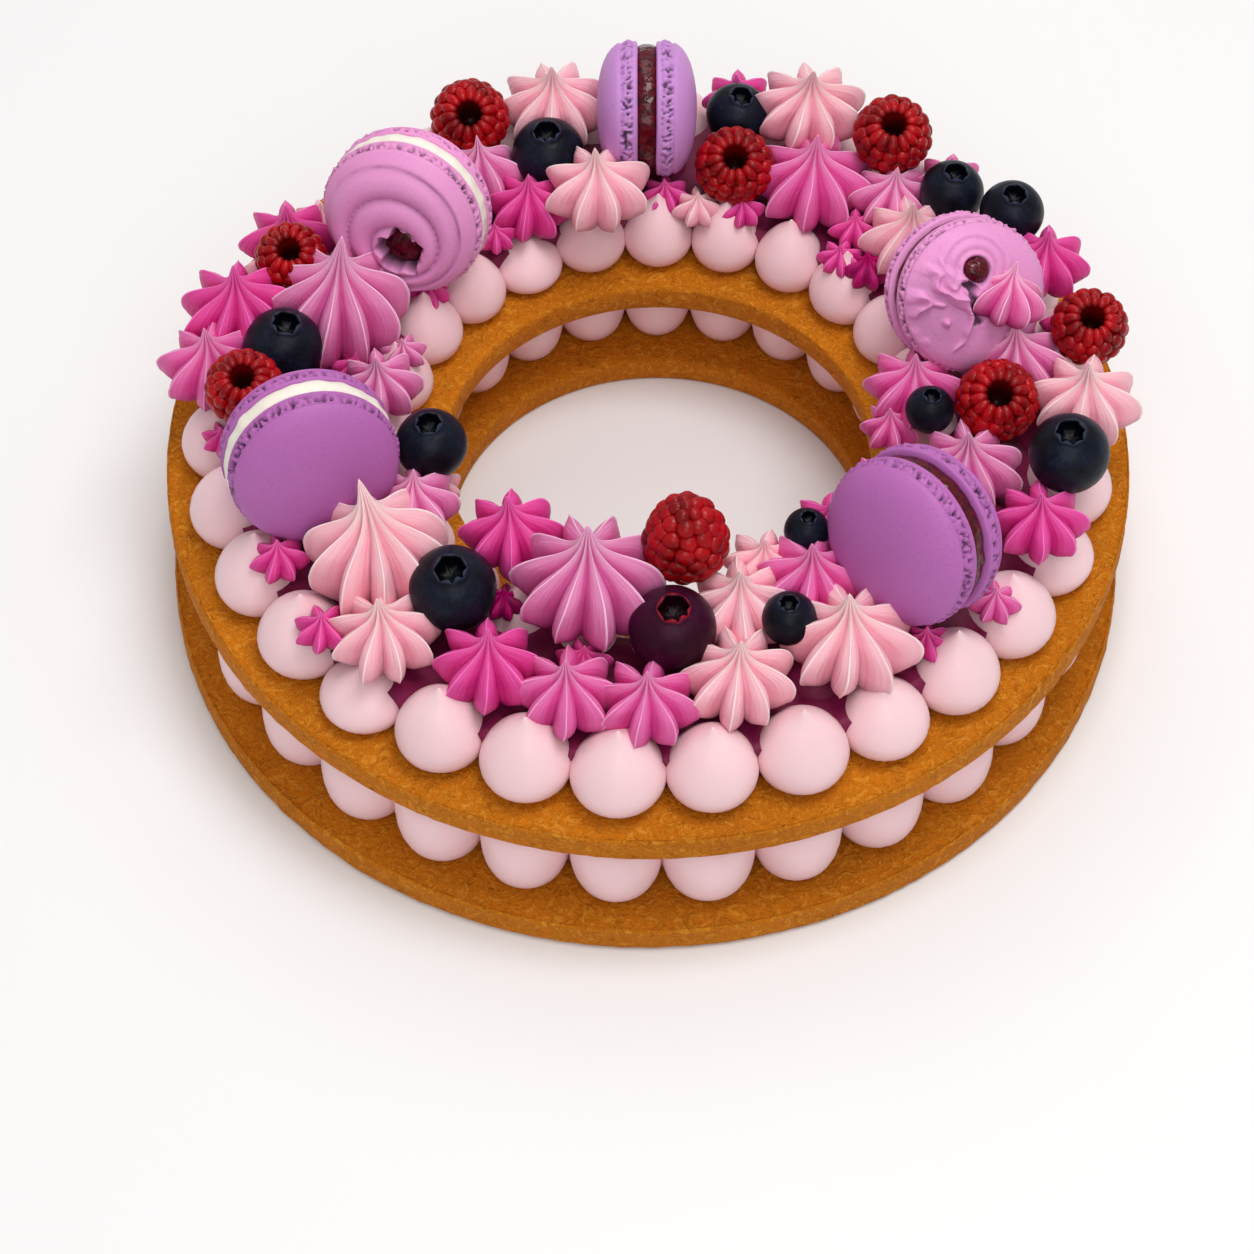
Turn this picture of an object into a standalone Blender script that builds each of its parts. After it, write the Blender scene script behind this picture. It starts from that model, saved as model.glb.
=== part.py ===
"""Ring tart: two biscuits, two layers of piped cream, and a wreath of macarons, berries and cream swirls.

The origin is the middle of the underside of the box round the whole tart. +Z is up, and the tart is seen
from -Y.
"""

import math
import random

import bmesh
import bpy
from mathutils import Matrix, Vector
from mathutils.bvhtree import BVHTree

MM = 0.001
GAP = 0.3 * MM
TINY = 0.0001 * MM
MERGE = 0.01 * MM
SHARP_ANGLE = math.radians(50)

# A sphere's columns start on the X axis or half a column from it, and this share of a column tells them apart.
COLUMN_SLACK = 0.25
SEED = 7

# The two storeys: each is a biscuit ring with a layer of piped cream on it. The upper one stands off centre
# by STOREY_SHIFT, and the lower one by as much the other way.
STOREY_SHIFT = Vector((0.25 * MM, 1.5 * MM, 0))
BISCUIT_RADIUS = 110 * MM
HOLE_RADIUS = 48.7 * MM
BISCUIT_THICKNESS = 7 * MM
BISCUIT_EDGE = 1.3 * MM
BISCUIT_STEPS = 36
CREAM_LAYER = 23 * MM
LOWER_HOLE_SHIFT = Vector((3 * MM, 6 * MM, 0))
UPPER_HOLE_SHIFT = Vector((2.5 * MM, -1 * MM, 0))
UPPER_FLOOR = 2 * BISCUIT_THICKNESS + CREAM_LAYER

# Piped kisses stand in an outer and an inner row on one ring of cream, with the same columns round both.
# Each row: number of kisses, radius of the row, width of a kiss, angle of the first, and the side facing out.
OUTER_ROW = (30, 95.5 * MM, 20 * MM, math.radians(2), 1)
INNER_ROW = (24, 62 * MM, 16.4 * MM, 0.0, -1)
OUTER_KISS_HEIGHT = 20.5 * MM
INNER_KISS_HEIGHT = 18.5 * MM
KISS_UNEVEN = 0.03
KISS_CREASE = 0.2
CREAM_COLUMNS = 120
BED_HEIGHT = 13 * MM
BED = UPPER_FLOOR + BED_HEIGHT

# A kiss's outline, from its tip out to its widest ring: share of half width, share of height.
KISS_DOME = ((0.00, 1.00), (0.16, 0.88), (0.70, 0.66), (0.90, 0.50), (1.00, 0.32))

# Rows of the cream's cross-section, outer row inwards: share of the half width out, share of the height up.
# A row without a height share lies on the kisses' domes.
POINTED_ROWS = ((0.78, 0.0), (1.00, 0.32), (0.72, None), (0.0, None))
PRESSED_ROWS = ((0.82, 0.0), (1.04, 0.44), (0.78, 1.0))
BED_EDGE = 0.6

# Rings of a star swirl from its tip down: share of height, crest share of half width, valley share of that.
WIDE_RINGS = ((0.80, 0.24, 0.64), (0.57, 0.64, 0.56), (0.34, 1.00, 0.70), (0.00, 0.70, 0.80))
MEDIUM_RINGS = ((0.70, 0.42, 0.58), (0.36, 1.00, 0.68), (0.00, 0.72, 0.80))
STAR_RINGS = ((0.36, 1.00, 0.60), (0.00, 0.74, 0.80))
WIDE_SWIRL = 21.5 * MM
SWIRL_HEIGHT_SHARE = 0.70
SWIRL_TWIST = math.radians(14)
STAR_LOBES = 5
STAR_SINK = 2 * MM

# A berry's rings from its hollow or crown down: share of its radius up, share of its radius out.
RASPBERRY_RINGS = ((0.86, 0.44), (0.70, 0.80), (0.22, 1.00), (-0.28, 0.94), (-0.68, 0.70), (-0.92, 0.34))
RASPBERRY_HOLLOW = 0.28
RASPBERRY_SIDES = 10
DRUPELET_DEPTH = 0.11
BLUEBERRY_RINGS = ((0.97, 0.30), (0.82, 0.58), (0.14, 1.00), (-0.46, 0.88), (-0.88, 0.44))
BLUEBERRY_DIMPLE = 0.80
BLUEBERRY_SIDES = 9

# Half of a macaron's turned outline, from the middle of its face: share of radius, share of half thickness.
MACARON_OUTLINE = ((0.58, 0.93), (0.87, 0.72), (0.99, 0.42), (0.97, 0.16), (0.90, 0.14))
MACARON_STEPS = 13
MACARON_ROUNDING = 0.6

# Toppings are laid out by bearing in degrees, reach from the middle, width and lift off the bed in mm.
MACARONS = (
    # name, bearing, reach, width, thickness, heading and rise of its axis in degrees
    ("macaron_1", 90, 80, 33, 24, 0, 0),
    ("macaron_2", 140, 70, 39, 23, -116, 30),
    ("macaron_3", -159, 79, 38, 22, -66, 23),
    ("macaron_4", -40, 76, 38, 22, -140, 22),
    ("macaron_5", 17, 76, 35, 22, -66, 38),
)
RASPBERRIES = (
    # name, bearing, reach, width, lift, lean towards the viewer in degrees
    ("raspberry_1", 117, 88, 18, 3, 34),
    ("raspberry_2", 74, 73, 18, 0, 26),
    ("raspberry_3", 51, 92, 18, 5, 22),
    ("raspberry_4", 152, 91, 16, 2, 24),
    ("raspberry_5", 179, 93, 17, 6, 18),
    ("raspberry_6", 9, 97, 17, 5, 22),
    ("raspberry_7", -2, 79, 18, 1, 28),
    ("raspberry_8", -80, 52, 20, 7, 0),
)
TIP_UP = ("raspberry_8",)
BLUEBERRIES = (
    # name, bearing, reach, width, lift
    ("blueberry_1", 107, 79, 17, 0),
    ("blueberry_2", 76, 89, 15, 1),
    ("blueberry_3", 40, 91, 15, 3),
    ("blueberry_4", 31, 98, 15, 6),
    ("blueberry_5", 169, 83, 18, 1),
    ("blueberry_6", -158, 52, 16, 4),
    ("blueberry_7", -127, 70, 19, 0),
    ("blueberry_8", -85, 65, 19, 0),
    ("blueberry_9", -63, 68, 12, 0),
    ("blueberry_10", -49, 55, 10, 4),
    ("blueberry_11", -5, 64, 11, 3),
    ("blueberry_12", -14, 95, 18, 6),
)
SWIRLS = (
    # name, bearing, reach, width, lift, lobes, cream
    ("swirl_1", 104, 90, 25, 4, 8, "pale_cream"),
    ("swirl_2", 66, 94, 28, 6, 8, "pale_cream"),
    ("swirl_3", 155, 75, 35, 0, 9, "rose_cream"),
    ("swirl_4", -147, 74, 35, 0, 9, "pale_cream"),
    ("swirl_5", -103, 57, 35, 4, 9, "rose_cream"),
    ("swirl_6", -57, 80, 30, 0, 8, "pale_cream"),
    ("swirl_7", 61, 80, 28, 0, 8, "rose_cream"),
    ("swirl_8", 97, 66, 24, 6, 8, "pale_cream"),
    ("swirl_9", 118, 83, 18, 1, 7, "rose_cream"),
    ("swirl_10", 114, 67, 19, 0, 7, "magenta_cream"),
    ("swirl_11", 49, 88, 19, 1, 7, "rose_cream"),
    ("swirl_12", 39, 81, 24, 1, 8, "pale_cream"),
    ("swirl_13", 23, 99, 20, 5, 7, "magenta_cream"),
    ("swirl_14", 166, 94, 26, 4, 8, "magenta_cream"),
    ("swirl_15", 177, 98, 24, 3, 8, "rose_cream"),
    ("swirl_16", 149, 94, 22, 4, 7, "magenta_cream"),
    ("swirl_17", 176, 60, 19, 2, 7, "rose_cream"),
    ("swirl_18", 9, 84, 25, 0, 8, "rose_cream"),
    ("swirl_19", 6, 63, 22, 2, 8, "magenta_cream"),
    ("swirl_20", -2, 98, 24, 5, 8, "pale_cream"),
    ("swirl_21", -12, 74, 25, 0, 8, "rose_cream"),
    ("swirl_22", -22, 93, 21, 4, 7, "magenta_cream"),
    ("swirl_23", -151, 58, 20, 3, 7, "rose_cream"),
    ("swirl_24", -126, 50, 22, 4, 8, "magenta_cream"),
    ("swirl_25", -72, 60, 24, 2, 8, "pale_cream"),
    ("swirl_26", -53, 64, 24, 2, 8, "rose_cream"),
    ("swirl_27", -131, 86, 24, 0, 8, "pale_cream"),
    ("swirl_28", -115, 81, 23, 0, 8, "magenta_cream"),
    ("swirl_29", -102, 82, 22, 0, 8, "rose_cream"),
    ("swirl_30", -90, 83, 22, 0, 8, "magenta_cream"),
    ("swirl_31", -76, 79, 25, 0, 8, "pale_cream"),
)
SMALL_STARS = (
    # bearing, reach, width, lift, fused to the upper cream
    (77, 98, 16, 4),
    (44, 99, 15, 4),
    (13, 100, 14, 5),
    (-41, 53, 16, 4),
    (-61, 52, 17, 4),
    (-106, 50, 16, 4),
    (144, 62, 10, 2),
    (162, 58, 10, 2),
    (-155, 51, 10, 2),
    (-5, 55, 13, 2),
    (-20, 54, 10, 2),
    (49, 74, 10, 2),
    (46, 65, 10, 2),
    (40, 67, 10, 2),
    (79, 64, 11, 2),
    (70, 66, 10, 2),
    (86, 67, 11, 2),
    (123, 64, 9, 2),
    (-152, 90, 10, 2),
    (-138, 92, 10, 2),
    (-175, 95, 9, 3),
    (-47, 88, 10, 2),
    (-36, 93, 11, 3),
    (169, 67, 11, 2),
    (-120, 62, 9, 2),
)

# Settling nudges crowded toppings apart in plan. Cream gives way, so its balls are smaller than its swirls.
SETTLE_ROUNDS = 160
SWIRL_BALLS = ((0.40, 0.50), (0.78, 0.18))
MACARON_SHARE = 0.15
EDGE_CLEARANCE = 0.5 * MM
SLOPE_STEP = 0.01 * MM
AXIS_SAMPLES = (0.05, 0.25, 0.45, 0.65, 0.85)
PRESS_ROUNDS = 150
PRESS_STEP = 0.4 * MM

COLOURS = {
    "biscuit": ((0.60, 0.27, 0.05), 0.75),
    "kiss_cream": ((0.87, 0.55, 0.58), 0.45),
    "pale_cream": ((0.90, 0.56, 0.60), 0.45),
    "rose_cream": ((0.75, 0.22, 0.45), 0.45),
    "magenta_cream": ((0.60, 0.08, 0.30), 0.45),
    "macaron": ((0.48, 0.22, 0.52), 0.60),
    "raspberry": ((0.45, 0.02, 0.03), 0.35),
    "blueberry": ((0.03, 0.04, 0.08), 0.45),
}


def clear_scene():
    """Remove the objects that the scene starts with."""
    for obj in list(bpy.data.objects):
        bpy.data.objects.remove(obj, do_unlink=True)


def make_collection(name):
    """Add a collection to the scene."""
    collection = bpy.data.collections.new(name)
    bpy.context.scene.collection.children.link(collection)
    return collection


def make_materials():
    """One Principled material for each finish."""
    materials = {}
    for name, (colour, roughness) in COLOURS.items():
        material = bpy.data.materials.new(name)
        material.use_nodes = True
        shader = material.node_tree.nodes["Principled BSDF"]
        shader.inputs["Base Color"].default_value = (*colour, 1)
        shader.inputs["Roughness"].default_value = roughness
        shader.inputs["Metallic"].default_value = 0
        materials[name] = material
    return materials


def add_object(name, bm, collection, material=None):
    """Turn a bmesh into a triangulated, smooth object and free the bmesh."""
    bmesh.ops.triangulate(bm, faces=bm.faces)
    bmesh.ops.recalc_face_normals(bm, faces=bm.faces)
    mesh = bpy.data.meshes.new(name)
    bm.to_mesh(mesh)
    bm.free()
    mesh.shade_smooth()
    mesh.set_sharp_from_angle(angle=SHARP_ANGLE)
    if material:
        mesh.materials.append(material)
    obj = bpy.data.objects.new(name, mesh)
    collection.objects.link(obj)
    return obj


def evaluated_bmesh(obj):
    """The bmesh of an object with its modifiers applied. The object is then removed."""
    graph = bpy.context.evaluated_depsgraph_get()
    mesh = bpy.data.meshes.new_from_object(obj.evaluated_get(graph))
    bm = bmesh.new()
    bm.from_mesh(mesh)
    bpy.data.meshes.remove(mesh)
    bpy.data.objects.remove(obj, do_unlink=True)
    return bm


def turned(profile, closed, steps, collection):
    """Turn a profile of (radius, height) points about Z with a Screw modifier."""
    mesh = bpy.data.meshes.new("profile")
    edges = [(i, i + 1) for i in range(len(profile) - 1)]
    if closed:
        edges.append((len(profile) - 1, 0))
    mesh.from_pydata([(radius, 0, height) for radius, height in profile], edges, [])
    obj = bpy.data.objects.new("profile", mesh)
    collection.objects.link(obj)
    screw = obj.modifiers.new("turn", "SCREW")
    screw.steps = steps
    screw.render_steps = steps
    screw.use_merge_vertices = True
    screw.merge_threshold = MERGE
    return evaluated_bmesh(obj)


def shift_inner_wall(bm, divide, shift):
    """Move the part of a ring inside a radius, so that its hole is off centre."""
    for vert in bm.verts:
        if vert.co.xy.length < divide:
            vert.co += shift


def biscuit(name, floor, centre, hole_shift, collection, material):
    """A flat ring with eased edges and an off-centre hole."""
    top = BISCUIT_THICKNESS
    ease = BISCUIT_EDGE
    profile = (
        (BISCUIT_RADIUS - ease, top),
        (BISCUIT_RADIUS, top - ease),
        (BISCUIT_RADIUS, ease),
        (BISCUIT_RADIUS - ease, 0),
        (HOLE_RADIUS, 0),
        (HOLE_RADIUS, top),
    )
    bm = turned(profile, True, BISCUIT_STEPS, collection)
    shift_inner_wall(bm, (BISCUIT_RADIUS + HOLE_RADIUS) / 2, hole_shift)
    bmesh.ops.translate(bm, verts=bm.verts, vec=centre + Vector((0, 0, floor)))
    return add_object(name, bm, collection, material)


def ball_of_rings(sides, rings, top, bottom):
    """A sphere whose rings, from the top down, are moved to the heights and radii that their rules give."""
    bm = bmesh.new()
    rows = len(rings) + 1
    bmesh.ops.create_uvsphere(bm, u_segments=sides, v_segments=rows, radius=1)
    for vert in bm.verts:
        row = round(math.acos(max(-1, min(1, vert.co.z))) / math.pi * rows)
        if row == 0:
            vert.co = Vector((0, 0, top))
        elif row == rows:
            vert.co = Vector((0, 0, bottom))
        else:
            column = math.floor(math.atan2(vert.co.y, vert.co.x) / math.tau * sides + COLUMN_SLACK) % sides
            height, radius, turn = rings[row - 1](column, row)
            angle = column * math.tau / sides + turn
            vert.co = Vector((radius * math.cos(angle), radius * math.sin(angle), height))
    return bm


def star_swirl(width, lobes, rings):
    """A piped star with sharp fins that fall from its tip, flare and tuck under."""
    height = SWIRL_HEIGHT_SHARE * width

    def ring(share_up, crest, valley):
        def place(column, row):
            radius = crest * width / 2 * (valley if column % 2 else 1)
            return share_up * height, radius, SWIRL_TWIST * (1 - share_up)
        return place
    return ball_of_rings(2 * lobes, [ring(*each) for each in rings], height, 0)


def raspberry(width, tip_up):
    """A bumpy berry with its hollow on top, or standing with its closed tip up."""
    radius = width / 2

    def ring(share_up, share_out):
        def place(column, row):
            bump = 1 - DRUPELET_DEPTH * ((column + row) % 2 if row > 1 else 0)
            return share_up * radius * (bump + 1) / 2, share_out * radius * bump, 0
        return place
    rings = [ring(*each) for each in RASPBERRY_RINGS]
    bm = ball_of_rings(RASPBERRY_SIDES, rings, RASPBERRY_HOLLOW * radius, -radius)
    if tip_up:
        bmesh.ops.rotate(bm, verts=bm.verts, matrix=Matrix.Rotation(math.pi, 3, "X"))
    return bm


def blueberry(width):
    """A round berry with a raised crown about a dimple."""
    radius = width / 2

    def ring(share_up, share_out):
        return lambda column, row: (share_up * radius, share_out * radius, 0)
    rings = [ring(*each) for each in BLUEBERRY_RINGS]
    return ball_of_rings(BLUEBERRY_SIDES, rings, BLUEBERRY_DIMPLE * radius, -radius)


def macaron(width, thickness, collection):
    """Two domed shells with their feet and a filling, turned about Z."""
    radius = width / 2
    half = thickness / 2
    upper = [(out * radius, up * half) for out, up in MACARON_OUTLINE]
    lower = [(out, -up) for out, up in reversed(upper)]
    return turned([(0, half), *upper, *lower, (0, -half)], False, MACARON_STEPS, collection)


def polar(bearing, reach, height=0.0):
    """A point at a bearing in degrees and a reach from the Z axis."""
    angle = math.radians(bearing)
    return Vector((reach * math.cos(angle), reach * math.sin(angle), height))


class Topping:
    """A piece of the wreath: its place, and the balls or the disc that stand for it while it settles."""

    def __init__(self, name, bearing, reach, width, lift):
        self.name = name
        self.width = width * MM
        self.place = polar(bearing, reach * MM, BED + GAP + lift * MM) - STOREY_SHIFT
        self.disc = None
        self.balls = []
        self.give = 1.0
        self.soft = False

    def centres(self):
        """The balls' centres and radii at the place where the piece now stands."""
        return [(self.place + Vector((0, 0, up)), radius) for up, radius in self.balls]


def berry_topping(name, bearing, reach, width, lift):
    """A berry stands on its lowest point."""
    piece = Topping(name, bearing, reach, width, lift)
    piece.balls = [(piece.width / 2, piece.width / 2)]
    return piece


def swirl_topping(name, bearing, reach, width, lift):
    """A swirl is a wide ball below a small one."""
    piece = Topping(name, bearing, reach, width, lift)
    height = SWIRL_HEIGHT_SHARE * piece.width
    piece.balls = [(up * height, out * piece.width / 2) for up, out in SWIRL_BALLS]
    piece.soft = True
    return piece


def macaron_topping(name, bearing, reach, width, thickness, heading, rise):
    """A macaron leans on its edge, with its axis at a heading and a rise."""
    piece = Topping(name, bearing, reach, width, 0)
    half = thickness * MM / 2
    rounding = MACARON_ROUNDING * half
    tilt = math.radians(rise)
    low = (piece.width / 2 - rounding) * math.cos(tilt) + (half - rounding) * math.sin(tilt) + rounding
    piece.place.z += low
    axis = polar(heading, math.cos(tilt), math.sin(tilt))
    piece.disc = (axis, piece.width / 2, half, rounding)
    piece.give = MACARON_SHARE
    return piece


def disc_distance(point, piece):
    """Distance from a point to the rounded disc of a macaron."""
    axis, radius, half, rounding = piece.disc
    offset = point - piece.place
    along = offset.dot(axis)
    out = (offset - along * axis).length - radius + rounding
    past = abs(along) - half + rounding
    outside = math.hypot(max(out, 0), max(past, 0))
    return outside + min(max(out, past), 0) - rounding


def ball_push(a, b):
    """Plan vector that parts a from b, both made of balls."""
    best = Vector((0, 0, 0))
    for centre_a, radius_a in a.centres():
        for centre_b, radius_b in b.centres():
            reach = radius_a + radius_b + GAP
            rise = centre_a.z - centre_b.z
            if abs(rise) >= reach:
                continue
            plan = Vector((centre_a.x - centre_b.x, centre_a.y - centre_b.y, 0))
            need = math.sqrt(reach * reach - rise * rise) - plan.length
            if need > best.length:
                best = plan.normalized() * need
    return best


def disc_push(a, b):
    """Plan vector that parts the balls of a from the disc of b."""
    best = Vector((0, 0, 0))
    for centre, radius in a.centres():
        need = radius + GAP - disc_distance(centre, b)
        if need <= best.length:
            continue
        slope = Vector((
            disc_distance(centre + Vector((SLOPE_STEP, 0, 0)), b) - disc_distance(centre, b),
            disc_distance(centre + Vector((0, SLOPE_STEP, 0)), b) - disc_distance(centre, b),
            0,
        ))
        best = slope.normalized() * need
    return best


def push(a, b):
    """Plan vector that parts a from b."""
    if a.disc and b.disc:
        return Vector((0, 0, 0))
    if b.disc:
        return disc_push(a, b)
    if a.disc:
        return -disc_push(b, a)
    return ball_push(a, b)


def settle(pieces):
    """Nudge crowded pieces apart in plan, and keep them over the biscuit."""
    for _ in range(SETTLE_ROUNDS):
        for i, a in enumerate(pieces):
            for b in pieces[:i]:
                if (a.place - b.place).length > a.width + b.width:
                    continue
                vector = push(a, b)
                a.place += vector * a.give / (a.give + b.give)
                b.place -= vector * b.give / (a.give + b.give)
        for piece in pieces:
            limit = BISCUIT_RADIUS - piece.width / 2 - EDGE_CLEARANCE
            offset = (piece.place - STOREY_SHIFT) * Vector((1, 1, 0))
            if offset.length > limit:
                piece.place += offset.normalized() * (limit - offset.length)


def vertex_span(points, normal):
    """Lowest and highest distance of points along a normal."""
    spans = [point.dot(normal) for point in points]
    return min(spans), max(spans)


def axis_points(piece):
    """Points on the upright axis of a soft piece."""
    height = SWIRL_HEIGHT_SHARE * piece.width
    return [piece.place + Vector((0, 0, share * height)) for share in AXIS_SAMPLES]


def trim(bm, normal, limit):
    """Cut away what lies beyond a plane, close the cut and drop loose scraps."""
    geometry = bm.verts[:] + bm.edges[:] + bm.faces[:]
    spot = normal * limit
    bmesh.ops.bisect_plane(bm, geom=geometry, dist=TINY, plane_co=spot, plane_no=normal, clear_outer=True)
    rim = [edge for edge in bm.edges if edge.is_boundary]
    bmesh.ops.holes_fill(bm, edges=rim, sides=0)
    keep_largest(bm)


def keep_largest(bm):
    """Keep the body with the widest box, and drop scraps and sealed hollows."""
    left = set(bm.verts)
    bodies = []
    while left:
        seed = left.pop()
        body = {seed}
        stack = [seed]
        while stack:
            vert = stack.pop()
            for edge in vert.link_edges:
                other = edge.other_vert(vert)
                if other not in body:
                    body.add(other)
                    stack.append(other)
        left -= body
        bodies.append(body)
    if len(bodies) > 1:
        bodies.sort(key=body_size)
        scraps = [vert for body in bodies[:-1] for vert in body]
        bmesh.ops.delete(bm, geom=scraps, context="VERTS")


def body_size(verts):
    """Diagonal of the box round some vertices."""
    low = Vector([min(vert.co[i] for vert in verts) for i in range(3)])
    high = Vector([max(vert.co[i] for vert in verts) for i in range(3)])
    return (high - low).length


def press_on_solid(bm, axis, solid):
    """Flatten cream where it meets a firm piece, on the plane that takes least of it away."""
    points = [vert.co for vert in bm.verts]
    best = None
    for sample in axis:
        closest = solid["tree"].find_nearest(sample)[0]
        normal = (closest - sample).normalized()
        limit = vertex_span(solid["points"], normal)[0] - GAP
        excess = vertex_span(points, normal)[1] - limit
        if excess <= 0:
            return
        if best is None or excess < best[0]:
            best = (excess, normal, limit)
    trim(bm, best[1], best[2])


def press_together(bm_a, axis_a, bm_b, axis_b):
    """Flatten two pieces of cream against each other, each giving way alike."""
    points_a = [vert.co for vert in bm_a.verts]
    points_b = [vert.co for vert in bm_b.verts]
    best = None
    for sample_a in axis_a:
        for sample_b in axis_b:
            normal = (sample_b - sample_a).normalized()
            high = vertex_span(points_a, normal)[1]
            low = vertex_span(points_b, normal)[0]
            if high + GAP <= low:
                return
            if best is None or high - low < best[0]:
                best = (high - low, normal, (high + low) / 2)
    normal = best[1]
    middle = best[2]
    trim(bm_a, normal, middle - GAP / 2)
    trim(bm_b, -normal, -middle - GAP / 2)


def solid_of(bm):
    """What the cream needs to know of a piece that it is pressed on."""
    points = [vert.co.copy() for vert in bm.verts]
    centre = sum(points, Vector()) / len(points)
    size = max((point - centre).length for point in points)
    bm.verts.index_update()
    faces = [[vert.index for vert in face.verts] for face in bm.faces]
    tree = BVHTree.FromPolygons(points, faces)
    return {"tree": tree, "points": points, "faces": faces, "centre": centre, "size": size}


def near(solid, point, distance):
    """Whether a solid may reach within a distance of a point."""
    return (solid["centre"] - point).length < solid["size"] + distance


def macaron_bmesh(piece, collection):
    """A macaron turned to its axis and set in place."""
    half = piece.disc[2]
    bm = macaron(piece.width, 2 * half, collection)
    turn = Vector((0, 0, 1)).rotation_difference(piece.disc[0]).to_matrix()
    bmesh.ops.rotate(bm, verts=bm.verts, matrix=turn)
    bmesh.ops.translate(bm, verts=bm.verts, vec=piece.place)
    return bm


def lean(bm, degrees):
    """Tip a berry towards the viewer about its middle."""
    bmesh.ops.rotate(bm, verts=bm.verts, matrix=Matrix.Rotation(math.radians(degrees), 3, "X"))


def set_berry(bm, piece):
    """Stand a berry on its place."""
    bmesh.ops.translate(bm, verts=bm.verts, vec=piece.place + Vector((0, 0, piece.width / 2)))


def set_swirl(bm, piece, turn):
    """Turn a swirl by some angle and stand it on its place."""
    bmesh.ops.rotate(bm, verts=bm.verts, matrix=Matrix.Rotation(turn, 3, "Z"))
    bmesh.ops.translate(bm, verts=bm.verts, vec=piece.place)


def make_wreath(collection, materials, draw):
    """Every topping that is a node of its own. Returns the solids that the cream below is pressed on."""
    macarons = [macaron_topping(*row) for row in MACARONS]
    raspberries = [berry_topping(*row[:5]) for row in RASPBERRIES]
    blueberries = [berry_topping(*row) for row in BLUEBERRIES]
    swirls = [swirl_topping(*row[:5]) for row in SWIRLS]
    settle(macarons + raspberries + blueberries + swirls)

    solids = []
    for piece in macarons:
        bm = macaron_bmesh(piece, collection)
        solids.append(solid_of(bm))
        add_object(piece.name, bm, collection, materials["macaron"])
    for piece, (*_layout, tip) in zip(raspberries, RASPBERRIES):
        bm = raspberry(piece.width, piece.name in TIP_UP)
        lean(bm, tip)
        set_berry(bm, piece)
        solids.append(solid_of(bm))
        add_object(piece.name, bm, collection, materials["raspberry"])
    for piece in blueberries:
        bm = blueberry(piece.width)
        set_berry(bm, piece)
        solids.append(solid_of(bm))
        add_object(piece.name, bm, collection, materials["blueberry"])

    shapes = []
    for piece, (*_layout, lobes, _cream) in zip(swirls, SWIRLS):
        bm = star_swirl(piece.width, lobes, WIDE_RINGS if piece.width > WIDE_SWIRL else MEDIUM_RINGS)
        set_swirl(bm, piece, draw.uniform(0, math.tau))
        for solid in solids:
            if near(solid, piece.place, piece.width):
                press_on_solid(bm, axis_points(piece), solid)
        shapes.append(bm)
    for i, piece in enumerate(swirls):
        for j, other in enumerate(swirls[:i]):
            if (piece.place - other.place).length < piece.width + other.width:
                press_together(shapes[i], axis_points(piece), shapes[j], axis_points(other))
    for piece, (*_layout, cream), bm in zip(swirls, SWIRLS, shapes):
        solids.append(solid_of(bm))
        add_object(piece.name, bm, collection, materials[cream])
    return solids


class KissRow:
    """A row of kisses: where it stands, how large each kiss is, and which way its outer side faces."""

    def __init__(self, row, height, centre, draw):
        self.count, self.radius, width, self.phase, self.side = row
        self.half_width = width / 2
        self.height = height
        self.centre = centre
        self.uneven = [1 + draw.uniform(-KISS_UNEVEN, KISS_UNEVEN) for _ in range(self.count)]

    def point(self, column, out, up, bed):
        """The ring's point at a column, a share of the half width out and a share of the height up."""
        per_kiss = CREAM_COLUMNS // self.count
        uneven = self.uneven[column // per_kiss % self.count]
        half = self.half_width * uneven
        pitch = math.tau / self.count
        across = ((column % per_kiss) / per_kiss - 0.5) * pitch * self.radius
        spread = math.sqrt(max(KISS_CREASE ** 2, 1 - (across / half) ** 2))
        away = out * half * spread
        if bed is not None:
            away = -BED_EDGE * self.half_width
            height = bed
        elif up is None:
            height = dome_height(math.hypot(across, away) / half) * self.height * uneven
        else:
            height = up * self.height
        angle = self.phase + (column / per_kiss - 0.5) * pitch
        reach = self.radius + self.side * away
        return self.centre + Vector((reach * math.cos(angle), reach * math.sin(angle), height))


def dome_height(share_out):
    """Share of a kiss's height at a share of its half width."""
    for (out_a, up_a), (out_b, up_b) in zip(KISS_DOME, KISS_DOME[1:]):
        if share_out <= out_b:
            return up_a + (up_b - up_a) * (share_out - out_a) / (out_b - out_a)
    return KISS_DOME[-1][1]


def cream_ring(rows, bed, outer, inner, floor, collection):
    """Turn a plain ring of cream, then swell its walls into two rows of kisses."""
    section = [(outer, *row, None) for row in rows]
    if bed is not None:
        section += [(outer, 0, 0, bed), (inner, 0, 0, bed)]
    section += [(inner, *row, None) for row in reversed(rows)]
    count = len(section)
    profile = []
    for i in range(count):
        turn = math.tau * i / count
        radius = outer.radius + outer.half_width * math.cos(turn)
        profile.append((radius, -outer.half_width * math.sin(turn)))
    bm = turned(profile, True, CREAM_COLUMNS, collection)
    for vert in bm.verts:
        turn = math.atan2(-vert.co.z, vert.co.xy.length - outer.radius)
        row, out, up, row_bed = section[round(turn / math.tau * count) % count]
        column = round(math.atan2(vert.co.y, vert.co.x) / math.tau * CREAM_COLUMNS) % CREAM_COLUMNS
        vert.co = row.point(column, out, up, row_bed) + Vector((0, 0, floor))
    bmesh.ops.triangulate(bm, faces=bm.faces)
    bmesh.ops.recalc_face_normals(bm, faces=bm.faces)
    return bm


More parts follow.
